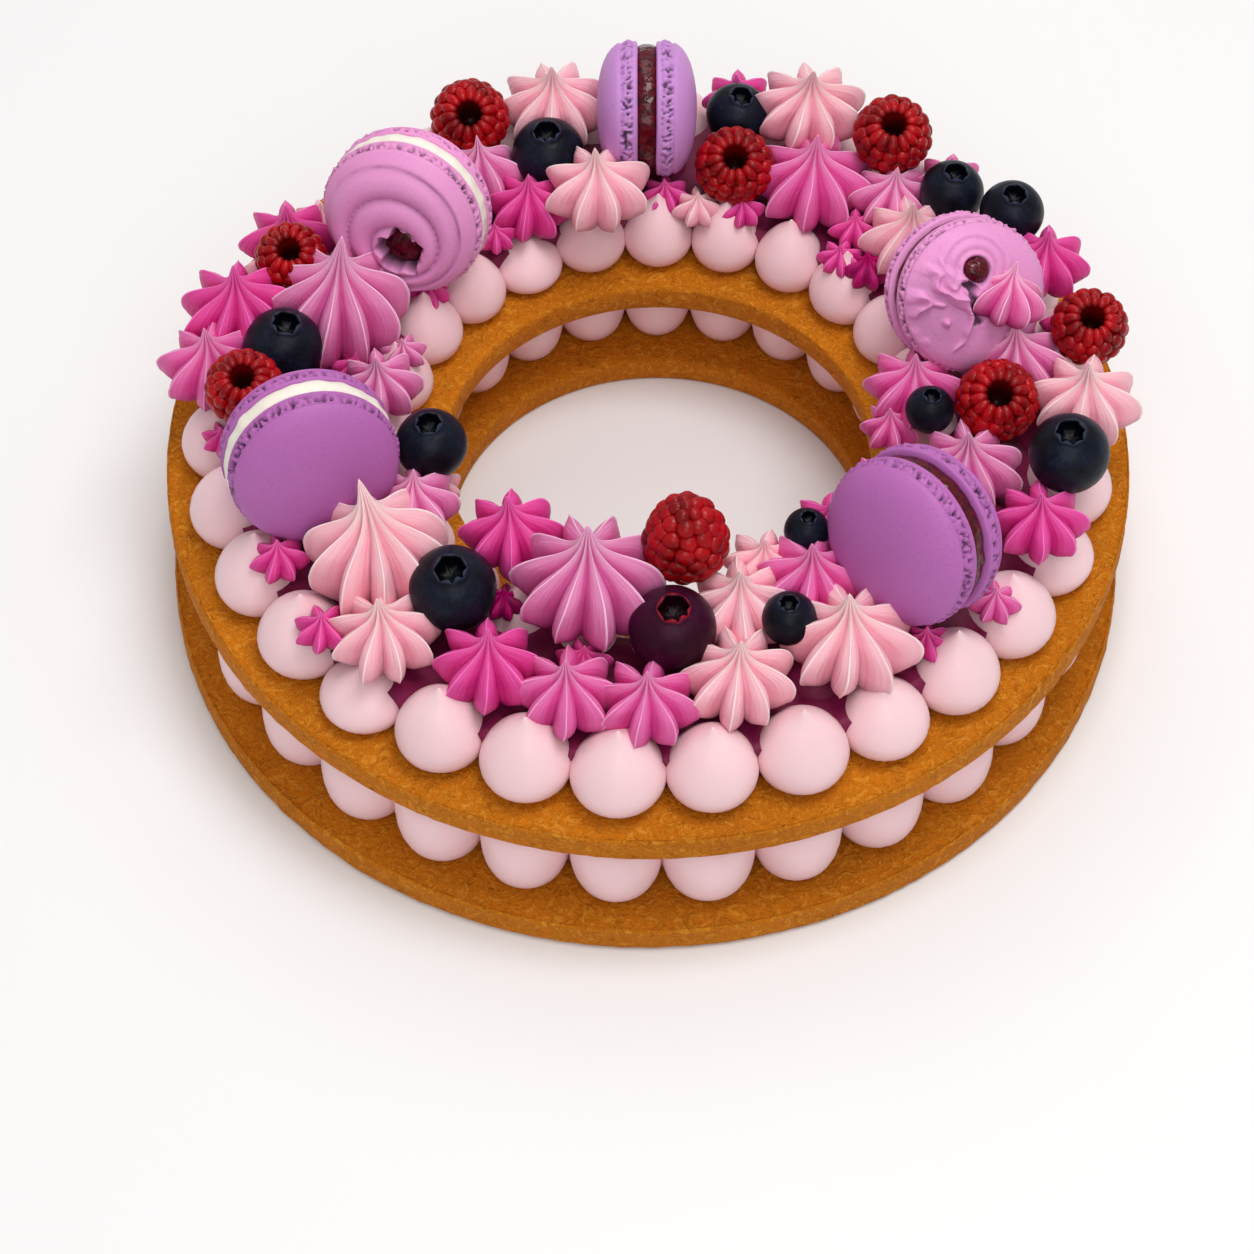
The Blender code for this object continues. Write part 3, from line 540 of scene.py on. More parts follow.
class Tree:
    """Adds nodes to a node tree. A socket takes a constant or another node's output."""

    def __init__(self, tree):
        self.tree = tree

    def put(self, socket, value):
        """Link an output to a socket, or set the socket's own value."""
        if isinstance(value, Number):
            value = value.socket
        if isinstance(value, bpy.types.NodeSocket):
            self.tree.links.new(value, socket)
        elif value is not None:
            socket.default_value = value

    def add(self, kind, *values, named=(), **settings):
        """Add a node, with its settings by name, its inputs in order, and other inputs by name."""
        node = self.tree.nodes.new(kind)
        for name, setting in settings.items():
            setattr(node, name, setting)
        for socket, value in zip(node.inputs, values):
            self.put(socket, value)
        for name, value in dict(named).items():
            self.put(node.inputs[name], value)
        return node

    def given(self):
        """The group's own inputs by name."""
        return {socket.name: Number(self, socket) for socket in self.add("NodeGroupInput").outputs}

    def math(self, operation, a, b=None, clamp=False):
        """The output of a Math node."""
        return Number(self, self.add("ShaderNodeMath", a, b, operation=operation, use_clamp=clamp).outputs[0])

    def round(self, angle):
        """The cosine and the sine of an angle."""
        return self.math("COSINE", angle), self.math("SINE", angle)

    def blend(self, share, a, b):
        """A number between a and b."""
        return share * (b - a) + a

    def curve(self, value, points):
        """A number read off a curve through some points."""
        node = self.add("ShaderNodeFloatCurve", None, value)
        line = node.mapping.curves[0]
        for _ in points[2:]:
            line.points.new(0.5, 0.5)
        for point, (along, share) in zip(line.points, points):
            point.location = (along, share)
            point.handle_type = "AUTO_CLAMPED"
        node.mapping.update()
        return Number(self, node.outputs[0])

    def vector(self, x, y, z):
        """A vector of three numbers."""
        return self.add("ShaderNodeCombineXYZ", x, y, z).outputs[0]

    def scaled(self, vector, scale):
        """A vector made longer or shorter."""
        return self.add("ShaderNodeVectorMath", vector, named={"Scale": scale}, operation="SCALE").outputs[0]

    def moved(self, vector, by):
        """The sum of two vectors."""
        return self.add("ShaderNodeVectorMath", vector, by, operation="ADD").outputs[0]

    def noise(self, place, scale, detail=2.0, roughness=0.5, distortion=0.0):
        """Cloudy noise from 0 to 1."""
        named = {"Scale": scale, "Detail": detail, "Roughness": roughness, "Distortion": distortion}
        return Number(self, self.add("ShaderNodeTexNoise", place, named=named).outputs[0])

    def finish(self, shape, material):
        """Make copies real, give the shape its material and send it out of the group."""
        shape = self.add("GeometryNodeRealizeInstances", shape)
        shape = self.add("GeometryNodeSetMaterial", shape.outputs[0], None, material)
        self.add("NodeGroupOutput", shape.outputs[0])


def node_group(name, sockets):
    """A Geometry Nodes group with its inputs, each given as name, kind and default."""
    group = bpy.data.node_groups.new(name, "GeometryNodeTree")
    for label, kind, default in (("Geometry", "Geometry", None), *sockets):
        socket = group.interface.new_socket(label, in_out="INPUT", socket_type="NodeSocket" + kind)
        if default is not None:
            socket.default_value = default
    group.interface.new_socket("Geometry", in_out="OUTPUT", socket_type="NodeSocketGeometry")
    return group


def star_tree():
    """Geometry Nodes that make a piped star from named sizes."""
    if STAR_TREE in bpy.data.node_groups:
        return bpy.data.node_groups[STAR_TREE]
    group = node_group(STAR_TREE, (
        ("Width", "Float", 25 * MM), ("Height", "Float", 18 * MM), ("Lobes", "Int", 8),
        ("Columns per lobe", "Int", FINE_STAR[0]), ("Rows", "Int", FINE_STAR[1]), ("Twist", "Float", 0.4),
        ("Turn", "Float", 0.0), ("Lean", "Vector", (0, 0, 0)), ("Unevenness", "Float", 0.10),
        ("Seed", "Float", 0.0), ("Material", "Material", None),
    ))
    tree = Tree(group)
    given = tree.given()
    columns = given["Lobes"] * given["Columns per lobe"] + 1
    grid = tree.add("GeometryNodeMeshGrid", 1.0, 1.0, columns, given["Rows"])
    spot = tree.add("ShaderNodeSeparateXYZ", tree.add("GeometryNodeInputPosition").outputs[0]).outputs
    fall = 0.5 - Number(tree, spot[1])

    # Columns crowd towards the crests. The groove runs from 0 on a crest to 1 in a valley.
    along = (Number(tree, spot[0]) + 0.5) * given["Lobes"]
    nearest = tree.math("ROUND", along)
    aside = along - nearest
    groove = (abs(aside) * 2) ** CREST_CROWDING
    angle = (nearest + tree.math("SIGN", aside) * groove * 0.5) / given["Lobes"] * math.tau

    # Above, a sharp crest falls to a round valley. Below, a leaf with a keel falls to a sharp one.
    ridge = (1 - groove) ** RIDGE_SHARPNESS
    leaf = 1 - (groove + groove ** 3) * 0.5
    keel = tree.math("SUBTRACT", 1, groove / KEEL_SHARE, clamp=True)
    lobe = tree.blend(tree.curve(fall, STAR_ROUNDNESS), ridge, leaf) + keel * CREST_KEEL
    level = tree.curve(fall, STAR_HEIGHT)
    crest = tree.curve(fall, STAR_CREST)
    out = tree.blend(lobe, crest * tree.curve(fall, STAR_VALLEY), crest)

    # Slow noise round the star makes its lobes unlike each other.
    east, north = tree.round(angle)
    place = tree.vector(east + given["Seed"], north, fall * 1.5)
    uneven = (tree.noise(place, UNEVEN_SCALE, detail=1.0) - 0.5) * given["Unevenness"]
    radius = out * (1 + uneven) * (given["Width"] * 0.5)
    twist = given["Twist"] * (level - STILL_LEVEL)
    east, north = tree.round(angle + given["Turn"] + (twist + uneven * fall * LOBE_SWAY))
    point = tree.vector(radius * east, radius * north, level * given["Height"])
    place = tree.moved(point, tree.scaled(given["Lean"], level ** 2))

    shape = grid
    for name, value in (("groove", groove), ("fall", fall)):
        shape = tree.add(
            "GeometryNodeStoreNamedAttribute", shape.outputs[0], None, name, named={"Value": value},
            data_type="FLOAT", domain="POINT",
        )
    shape = tree.add("GeometryNodeSetPosition", shape.outputs[0], None, place)
    shape = tree.add("GeometryNodeMergeByDistance", shape.outputs[0], named={"Distance": MERGE_DISTANCE})
    tree.finish(shape.outputs[0], given["Material"])
    return group


def setting_tree():
    """Geometry Nodes that set a small shape on each point of a mesh, by its size, way out and turn."""
    if SETTING_TREE in bpy.data.node_groups:
        return bpy.data.node_groups[SETTING_TREE]
    group = node_group(SETTING_TREE, (
        ("Shape", "Object", None), ("Size", "Float", 1.0), ("Material", "Material", None),
    ))
    tree = Tree(group)
    given = tree.given()
    size, outward, turn = (
        tree.add("GeometryNodeInputNamedAttribute", name, data_type=kind).outputs[0]
        for name, kind in (("size", "FLOAT_VECTOR"), ("outward", "FLOAT_VECTOR"), ("turn", "FLOAT"))
    )
    shape = tree.add("GeometryNodeObjectInfo", given["Shape"])
    way = tree.add("FunctionNodeAlignRotationToVector", named={"Vector": outward}, axis="Z")
    spin = tree.add("FunctionNodeEulerToRotation", tree.vector(0.0, 0.0, turn))
    turned = tree.add("FunctionNodeRotateRotation", way.outputs[0], spin.outputs[0], rotation_space="LOCAL")
    copies = tree.add("GeometryNodeInstanceOnPoints", given["Geometry"], named={
        "Instance": shape.outputs["Geometry"], "Rotation": turned.outputs[0],
        "Scale": tree.scaled(size, given["Size"]),
    })
    tree.finish(copies.outputs[0], given["Material"])
    return group


def grown(mesh, group, **values):
    """The plain mesh that a node group makes of a mesh, with the group's inputs set by name."""
    holder = bpy.data.objects.new("holder", mesh)
    collection().objects.link(holder)
    modifier = holder.modifiers.new("grow", "NODES")
    modifier.node_group = group
    for item in group.interface.items_tree:
        key = item.name.lower().replace(" ", "_")
        if item.in_out == "INPUT" and key in values:
            modifier[item.identifier] = values[key]
    graph = bpy.context.evaluated_depsgraph_get()
    result = bpy.data.meshes.new_from_object(holder.evaluated_get(graph))
    result.materials.clear()
    result.materials.append(values["material"])
    result.polygons.foreach_set("material_index", [0] * len(result.polygons))
    holder.modifiers.remove(modifier)
    bpy.data.objects.remove(holder, do_unlink=True)
    bpy.data.meshes.remove(mesh)
    return result


def set_on_points(spots, shape, size, material):
    """Copies of a shape as one plain mesh. Each spot is a point, a size, a way out and a turn."""
    points, sizes, ways, turns = zip(*spots)
    mesh = bpy.data.meshes.new("points")
    mesh.from_pydata([tuple(point) for point in points], [], [])
    for name, vectors in (("size", sizes), ("outward", ways)):
        store(mesh, name, "FLOAT_VECTOR", "vector", [number for vector in vectors for number in vector])
    store(mesh, "turn", "FLOAT", "value", turns)
    made = grown(mesh, setting_tree(), shape=shape, size=size, material=material)
    bpy.data.objects.remove(shape, do_unlink=True)
    return made


SOCKETS = {
    "colour": "Base Color", "roughness": "Roughness", "normal": "Normal", "coat": "Coat Weight",
    "coat_roughness": "Coat Roughness", "under": "Subsurface Weight", "under_radius": "Subsurface Radius",
    "under_scale": "Subsurface Scale", "specular": "Specular IOR Level",
}


class Finish:
    """Builds one material: a colour tinged by shares, and dents one over the other."""

    def __init__(self, name, colour):
        self.material = bpy.data.materials.new(name)
        self.material.use_nodes = True
        self.tree = Tree(self.material.node_tree)
        self.place = self.tree.add("ShaderNodeTexCoord").outputs["Object"]
        self.colour = colour
        self.relief = None

    def noise(self, scale, **settings):
        """Cloudy noise from 0 to 1."""
        return self.tree.noise(self.place, scale, **settings)

    def attribute(self, name):
        """A number stored on the mesh."""
        return Number(self.tree, self.tree.add("ShaderNodeAttribute", attribute_name=name).outputs["Fac"])

    def spread(self, value, low, high):
        """Stretch a number so that low becomes 0 and high becomes 1."""
        node = self.tree.add("ShaderNodeMapRange", value, low, high, 0.0, 1.0, clamp=True)
        return Number(self.tree, node.outputs[0])

    def cloud(self, scale, low, high, **settings):
        """Clouds with clear middles and edges."""
        return self.spread(self.noise(scale, **settings), low, high)

    def tinge(self, share, colour):
        """Bring in a share of another colour."""
        node = self.tree.add("ShaderNodeMix", data_type="RGBA", blend_type="MIX")
        ends = ((*part, 1) if isinstance(part, tuple) else part for part in (self.colour, colour))
        for number, value in zip((0, 6, 7), (share, *ends)):
            self.tree.put(node.inputs[number], value)
        self.colour = node.outputs[2]

    def dent(self, height, depth):
        """Add relief of a given depth in metres."""
        named = {"Strength": 1.0, "Distance": depth, "Height": height, "Normal": self.relief}
        self.relief = self.tree.add("ShaderNodeBump", named=named).outputs[0]

    def done(self, **values):
        """Set the shader's sockets by name and return the material."""
        shader = self.material.node_tree.nodes["Principled BSDF"]
        for name, value in {"colour": self.colour, "normal": self.relief, **values}.items():
            self.tree.put(shader.inputs[SOCKETS[name]], value)
        return self.material


def tint(name):
    """One of the tart's colours."""
    return tuple(getattr(bpy.context.scene.tart_colours, name))


def shaded(colour, part):
    """A colour with part of its light."""
    return tuple(part * light for light in colour)


def biscuit_finish():
    """Baked biscuit: golden ochre with fine light flecks, a sandy crumb and a few darker specks."""
    dough = tint("biscuit")
    fleck = tint("biscuit_fleck")
    finish = Finish("baked biscuit", dough)
    finish.tinge(finish.cloud(28, 0.35, 0.70, detail=3), shaded(dough, 0.82))
    curls = finish.noise(210, detail=3, roughness=0.55, distortion=3.2)
    finish.tinge(finish.spread(curls, 0.54, 0.64) * 0.55, fleck)
    finish.tinge(finish.cloud(800, 0.55, 0.68, detail=3, roughness=0.6, distortion=2.5) * 0.7, fleck)
    specks = finish.cloud(620, 0.56, 0.74, detail=3, roughness=0.6, distortion=1.5)
    finish.tinge(specks * 0.8, shaded(dough, 0.42))
    finish.dent(finish.noise(1500, detail=5, roughness=0.7), 0.4 * MM)
    finish.dent(finish.noise(380, detail=4, roughness=0.6, distortion=1.0), 0.6 * MM)
    finish.dent(curls, 0.9 * MM)
    return finish.done(roughness=0.7, specular=0.12)


def cream_finish(name, crest, groove):
    """Piped cream: a painted highlight along its crests, painted light on its spire, even faces, and painted
    shade in its grooves and at its foot.
    """
    finish = Finish(name, crest)
    tree = finish.tree
    share = finish.attribute("groove")
    fall = finish.attribute("fall")
    line = finish.spread(share, 0.01, 0.07)
    # Painted highlight: off the crests the faces take a mix of crest and groove colours, so the crest colour
    # stays only as a thin light line along each crest.
    finish.tinge(line, tuple(0.42 * a + 0.58 * b for a, b in zip(crest, groove)))
    # Painted light: the spire is lit up towards the crest colour.
    finish.tinge(finish.spread(fall, 0.45, 0.12) * 0.80, crest)
    # Painted shade: the grooves darken towards the groove colour, in streaks.
    finish.tinge(finish.spread(share, 0.30, 1.0) * tree.blend(finish.noise(260, detail=3), 0.6, 1.0), groove)
    # Lower down, the faces take a share of the groove colour and grow darker.
    finish.tinge(finish.spread(fall, 0.40, 0.80) * (line * 0.38), groove)
    # Painted shade at the foot, where the star meets the bed.
    finish.tinge(finish.spread(fall, 0.78, 0.96), shaded(groove, 0.55))
    finish.dent(finish.noise(1600, detail=3), 0.06 * MM)
    finish.dent(finish.noise(330), 0.12 * MM)

    # Fine ridges follow the lobes low down and fade out towards the tip.
    place = tree.moved(tree.scaled(finish.place, 90), tree.vector(share * 7, 0.0, 0.0))
    finish.dent(tree.noise(place, 1.0) * finish.spread(fall, 0.22, 0.60), 0.35 * MM)
    return finish.done(
        roughness=0.42, specular=0.22, under=0.15, under_radius=(0.8, 0.35, 0.3), under_scale=1.0 * MM,
    )


def kiss_finish():
    """Smooth pale cream with faint warm clouds."""
    finish = Finish("kiss cream", tint("kiss"))
    finish.tinge(finish.cloud(60, 0.35, 0.75), shaded(tint("kiss"), 0.94))
    finish.dent(finish.noise(1500), 0.03 * MM)
    finish.dent(finish.noise(260), 0.12 * MM)
    return finish.done(
        roughness=0.38, specular=0.35, under=0.2, under_radius=(0.9, 0.4, 0.35), under_scale=1.5 * MM,
    )


def shaded_bed_finish():
    """Berry-coloured cream, darkened with painted shade, seen only in the gaps between the toppings."""
    finish = Finish("berry cream", tint("bed"))
    finish.tinge(finish.cloud(180, 0.35, 0.75, detail=3), shaded(tint("bed"), 0.6))
    finish.dent(finish.noise(380, detail=3), 0.25 * MM)
    return finish.done(roughness=0.5, specular=0.25)


def shell_finish(name):
    """Macaron shell: satin with fine pimples and specks, and painted shade in the dark holes of its foot and
    in the hollows of a shaped face.
    """
    shell = tint(name + "_shell")
    finish = Finish(name + " shell", shell)
    finish.tinge(finish.cloud(1700, 0.56, 0.74, detail=3, roughness=0.6) * 0.55, shaded(shell, 0.62))
    finish.tinge(finish.cloud(45, 0.35, 0.70) * 0.35, shaded(shell, 0.85))
    # Painted shade in the foot's holes and in the hollows of the face.
    finish.tinge(finish.spread(finish.attribute("pit"), 0.05, 0.85), shaded(shell, 0.18))
    finish.dent(finish.noise(1500, detail=3, roughness=0.6), 0.09 * MM)
    return finish.done(
        roughness=0.5, specular=0.3, under=0.08, under_radius=(0.6, 0.3, 0.6), under_scale=0.8 * MM,
    )


def jam_finish():
    """Dark glossy berry jam."""
    finish = Finish("berry jam", tint("jam"))
    finish.tinge(finish.cloud(700, 0.45, 0.65), shaded(tint("jam"), 0.35))
    finish.dent(finish.noise(420), 0.5 * MM)
    return finish.done(roughness=0.15, specular=0.35)


def milk_finish():
    """White filling between two shells."""
    finish = Finish("milk cream", tint("milk"))
    finish.tinge(finish.noise(300), shaded(tint("milk"), 0.93))
    finish.dent(finish.noise(350, detail=3), 0.25 * MM)
    return finish.done(roughness=0.4, specular=0.4)


def raspberry_finish():
    """Drupelet skin: dark red and moist, with painted shade in its hollow."""
    skin = tint("raspberry")
    finish = Finish("raspberry skin", skin)
    finish.tinge(finish.cloud(170, 0.35, 0.7, detail=3), shaded(skin, 0.38))
    # Painted shade in the hollow of a cup-shaped berry.
    finish.tinge(finish.spread(finish.attribute("hollow"), 0.05, 0.45), shaded(skin, 0.10))
    finish.dent(finish.noise(1100, detail=3), 0.07 * MM)
    return finish.done(
        roughness=0.30, specular=0.22, coat=0.06, coat_roughness=0.1, under=0.05,
        under_radius=(1.0, 0.15, 0.12), under_scale=1.0 * MM,
    )


def blueberry_finish(name):
    """Dark skin under a patchy, dusty bloom, with a crown rim of its own colour and painted shade in its
    crater.
    """
    skin = tint(name)
    finish = Finish(name.replace("_", " ") + " skin", skin)
    dust = finish.tree.blend(finish.cloud(1100, 0.25, 0.75), 0.10, 0.45)
    bloom = finish.cloud(120, 0.40, 0.80, detail=5, roughness=0.6) * dust
    finish.tinge(bloom, tint(name + "_bloom"))
    crown = finish.attribute("rim")
    finish.tinge(finish.spread(crown, 0.3, 1.0), tint(name + "_rim"))
    # Painted shade in the crater.
    finish.tinge(finish.spread(crown, 0.0, -1.0) * 0.9, shaded(skin, 0.3))
    finish.dent(finish.noise(90), 0.25 * MM)
    finish.dent(finish.noise(520, detail=4), 0.12 * MM)
    return finish.done(roughness=finish.tree.blend(bloom, 0.36, 0.55), specular=0.14)


def off_place(node):
    """How far a piece stands from its solid's place."""
    return Vector(OFF_PLACE.get(node, (0, 0, 0))) * MM


def corners(node):
    """The low and the high corner of a node's box."""
    return (Vector(corner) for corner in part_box(node))


def ring_middle(node):
    """The middle of a ring on the ground."""
    low, high = corners(node)
    return (low + high) / 2 * Vector((1, 1, 0))


def settled_on(node):
    """Where a piped star's axis stands on its floor, and how far up it reaches."""
    tip = max((vert.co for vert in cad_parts[node].data.vertices), key=lambda point: point.z)
    low, _high = corners(node)
    away = off_place(node)
    return Vector((tip.x, tip.y, low.z)) + away, tip.z + away.z


def middle(node):
    """The middle of a node's box."""
    low, high = corners(node)
    return (low + high) / 2 + off_place(node)


def dress(piece, node):
    """Let a piece stand for a node and ride on the tart."""
    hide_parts(node)
    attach(piece, "root")


def tree_of(node):
    """A search tree of a node's faces."""
    bm = bmesh.new()
    bm.from_mesh(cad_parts[node].data)
    tree = BVHTree.FromBMesh(bm)
    bm.free()
    return tree


class TART_OT_biscuits(bpy.types.Operator):
    """Bake the two biscuit rings"""

    bl_idname = "tart.biscuits"
    bl_label = "Biscuits"

    def ring(self, node, hole_shift, seed):
        """A flat ring whose rim and face are slightly uneven, all within the plain one."""
        low, high = corners(node)
        centre = ring_middle(node)
        radius = (high.x - low.x) / 2
        thickness = high.z - low.z
        depth = bpy.context.scene.tart_sizes.crumb_depth
        outline = self.outline(radius, thickness)
        offset = Vector((seed, seed, seed))

        def place(row, angle):
            share, up = outline[row]
            way = way_out(angle)
            point = (way * HOLE_RADIUS + centre + hole_shift).lerp(way * radius + centre, share)
            point.z = low.z + up
            rough, fine, wave = (noise.noise(point * scale + offset) for scale in CRUMB_SCALES)
            dent = max(0, depth * (0.8 + 0.5 * (rough + 0.6 * fine) + 0.5 * wave))
            if share > RIM_SHARE and up < thickness:
                point -= way * dent
            if up == thickness:
                point.z -= dent * FACE_DENT
            return point
        return joined(rings(len(outline), BISCUIT_COLUMNS, place, loop=True))

    def outline(self, radius, thickness):
        """Rows round the ring's section, from its face's inner edge outwards and down: share out, height."""
        ease = BISCUIT_EASE
        edge = ease / (radius - HOLE_RADIUS)
        rows = []
        for step in range(BISCUIT_TOP_ROWS):
            rows.append((edge + (1 - 2 * edge) * step / (BISCUIT_TOP_ROWS - 1), thickness))
        for step in range(1, BISCUIT_SIDE_ROWS):
            turn = math.pi / 2 * step / BISCUIT_SIDE_ROWS
            rows.append((1 - edge * (1 - math.sin(turn)), thickness - ease * (1 - math.cos(turn))))
        for step in range(BISCUIT_SIDE_ROWS + 1):
            rows.append((1.0, thickness - ease - (thickness - 2 * ease) * step / BISCUIT_SIDE_ROWS))
        rows += [(1 - 0.4 * edge, 0.3 * ease), (1 - edge, 0.0), (0.5, 0.0), (edge, 0.0)]
        rows += [(0.3 * edge, 0.3 * ease), (0.0, ease), (0.0, thickness / 2), (0.0, thickness - ease)]
        rows.append((0.3 * edge, thickness - 0.3 * ease))
        return rows

    def execute(self, context):
        material = biscuit_finish()
        for node, (shift, seed) in BISCUITS.items():
            dress(add("baked_" + node, self.ring(node, shift, seed), material), node)
        return {"FINISHED"}


class TART_OT_kisses(bpy.types.Operator):
    """Pipe the kisses and the bed of cream that the wreath rests on"""

    bl_idname = "tart.kisses"
    bl_label = "Kisses"

    def shape(self, outline):
        """One kiss of unit half width and unit height."""
        def place(row, angle):
            out, up = outline[row]
            return way_out(angle) * out + Vector((0, 0, up))
        skin = rings(len(outline), KISS_COLUMNS, place, Vector((0, 0, 1)), Vector())
        return add("kiss_shape", joined(skin))

    def pressed(self, base, half, height, trees):
        """Share of its height that a kiss keeps below the toppings."""
        keep = 1.0
        for out, up, count in PRESS_RAYS:
            for step in range(count):
                aside = way_out(math.tau * step / count) * out * half
                start = base + aside + Vector((0, 0, RAY_START * height))
                for tree in trees:
                    hit = tree.ray_cast(start, Vector((0, 0, 1)), height)
                    if hit[0] is not None:
                        keep = min(keep, (hit[0].z - base.z) / (up * height))
        return max(LOWEST_KISS, keep)

    def row(self, row, centre, floor, height, outline, material, trees=()):
        """A ring of kisses on one floor."""
        count, radius, width, phase = row
        draw = random.Random(bpy.context.scene.tart_sizes.seed + count)
        spots = []
        for i in range(count):
            out = way_out(phase + math.tau * i / count)
            half = width / 2 * draw.uniform(0.975, 1.02)
            base = centre + out * (radius + draw.uniform(-0.3, 0.3) * MM) + Vector((0, 0, floor))
            tall = height * (self.pressed(base, half, height, trees) if trees else 1.0)
            size = (half, half * draw.uniform(0.98, 1.02), tall * draw.uniform(0.97, 1.0))
            if not trees:
                # Kisses between the biscuits stand straight: the two draws for a lean are passed over.
                draw.random()
                draw.random()
            spots.append((base, size, (0, 0, 1), draw.uniform(0, math.tau)))
        return set_on_points(spots, self.shape(outline), 1.0, material)

    def bed(self, centre, hole, floor, top, inset=0.0):
        """The cream under the toppings or between the biscuits, with a softly rolling face."""
        inner = INNER_ROW[1] + inset
        outer = OUTER_ROW[1] - inset
        rows = [(step / BED_STEPS, top) for step in range(BED_STEPS + 1)] + [(1.0, floor), (0.0, floor)]

        def place(row, angle):
            share, height = rows[row]
            way = way_out(angle)
            point = (hole + way * inner).lerp(centre + way * outer, share)
            if height == top:
                height -= BED_ROLL * (1 + noise.noise(point * BED_ROLL_SCALE))
            return Vector((point.x, point.y, height))
        return joined(rings(len(rows), BED_COLUMNS, place, loop=True))

    def storey(self, biscuit, hole_shift):
        """The middle of a storey, the middle of its hole and the floor that its kisses stand on."""
        centre = ring_middle(biscuit)
        return centre, centre + hole_shift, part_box(biscuit)[1][2] + LOWER_GAP

    def execute(self, context):
        sizes = context.scene.tart_sizes
        material = kiss_finish()
        centre, hole, floor = self.storey("biscuit_lower", LOWER_HOLE_SHIFT)
        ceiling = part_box("biscuit_upper")[0][2] - LOWER_GAP
        for name, row, row_middle in (("outer", OUTER_ROW, centre), ("inner", INNER_ROW, hole)):
            mesh = self.row(row, row_middle, floor, ceiling - floor, PRESSED_KISS, material)
            dress(add("lower_kisses_" + name, mesh), "cream_lower")
        mesh = self.bed(centre, hole, floor, ceiling, CORE_INSET)
        dress(add("lower_cream_core", mesh, material), "cream_lower")

        centre, hole, floor = self.storey("biscuit_upper", UPPER_HOLE_SHIFT)
        trees = [tree_of(name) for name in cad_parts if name.split("_")[0] in TOPPINGS]
        # The bed and the middle kisses are berry-coloured cream darkened with painted shade, for the gaps
        # between the toppings.
        shaded_berry_cream = shaded_bed_finish()
        for name, row, row_middle, height, cream in (
            ("outer", OUTER_ROW, centre, sizes.outer_kiss, material),
            ("inner", INNER_ROW, hole, sizes.inner_kiss, material),
            ("middle", MIDDLE_ROW, centre.lerp(hole, 0.5), MIDDLE_KISS, shaded_berry_cream),
        ):
            mesh = self.row(row, row_middle, floor, height, POINTED_KISS, cream, trees)
            dress(add("upper_kisses_" + name, mesh), "cream_upper")
        # The bed under the toppings takes the same cream, darkened with painted shade.
        mesh = self.bed(centre, hole, floor, floor - LOWER_GAP + BED_FACE)
        dress(add("upper_cream_bed", mesh, shaded_berry_cream), "cream_upper")
        return {"FINISHED"}


def star(width, height, lobes, fineness, material, **values):
    """A piped star on the origin."""
    columns, rows = fineness
    return grown(
        bpy.data.meshes.new("start"), star_tree(), width=width, height=height, lobes=lobes,
        columns_per_lobe=columns, rows=rows, material=material, **values,
    )


class TART_OT_stars(bpy.types.Operator):
    """Pipe the swirls and the small stars"""

    bl_idname = "tart.stars"
    bl_label = "Swirls and stars"

    def pipe(self, place, width, height, lobes, material, draw, fineness=None, lean=Vector()):
        """A piped star that stands on a place, unlike its neighbours."""
        lean = lean + Vector((draw.uniform(-1, 1), draw.uniform(-1, 1), 0)) * STAR_LEAN * width
        mesh = star(
            width, height, lobes, fineness or FINE_STAR, material, lean=lean, unevenness=STAR_UNEVENNESS,
            twist=bpy.context.scene.tart_sizes.star_twist * draw.uniform(0.7, 1.2),
            turn=draw.uniform(0, math.tau), seed=draw.uniform(0, 50),
        )
        mesh.transform(Matrix.Translation(place))
        return outward(mesh)

    def execute(self, context):
        creams = {
            name: cream_finish(name + " cream", tint(name + "_crest"), tint(name + "_groove"))
            for name in ("pale", "pink", "rose", "magenta")
        }
        # Painted shade: a darker copy of the magenta cream, built from its groove colour, for small stars
        # that sit in shade.
        deep = tint("magenta_groove")
        creams["deep"] = cream_finish("deep cream", deep, shaded(deep, 0.45))
        draw = random.Random(context.scene.tart_sizes.seed)
        for name, (width, lobes, cream) in SWIRLS.items():
            place, top = settled_on(name)
            width *= MM
            right, back, up = TIP_LEAN.get(name, (0, 0, 0))
            height = min(STAR_HEIGHT_SHARE * width, top - place.z + TIP_REACH) + up * MM
            lean = Vector((right, back, 0)) * MM
            mesh = self.pipe(place, width, height, lobes, creams[cream], draw, lean=lean)
            dress(add("piped_" + name, mesh), name)
        centre = ring_middle("biscuit_lower")
        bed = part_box("biscuit_upper")[1][2] + BED_HEIGHT
        for i, (bearing, reach, width, lift, cream) in enumerate(SMALL_STARS, 1):
            place = centre + way_out(math.radians(bearing)) * reach * MM
            place.z = bed + lift * MM - STAR_SINK
            fineness = FINE_STAR if width > LARGEST_SMALL else SMALL_STAR
            width *= MM
            height = SMALL_HEIGHT_SHARE * width
            mesh = self.pipe(place, width, height, SMALL_LOBES, creams[cream], draw, fineness)
            dress(add(f"small_star_{i}", mesh), "cream_upper")
        return {"FINISHED"}


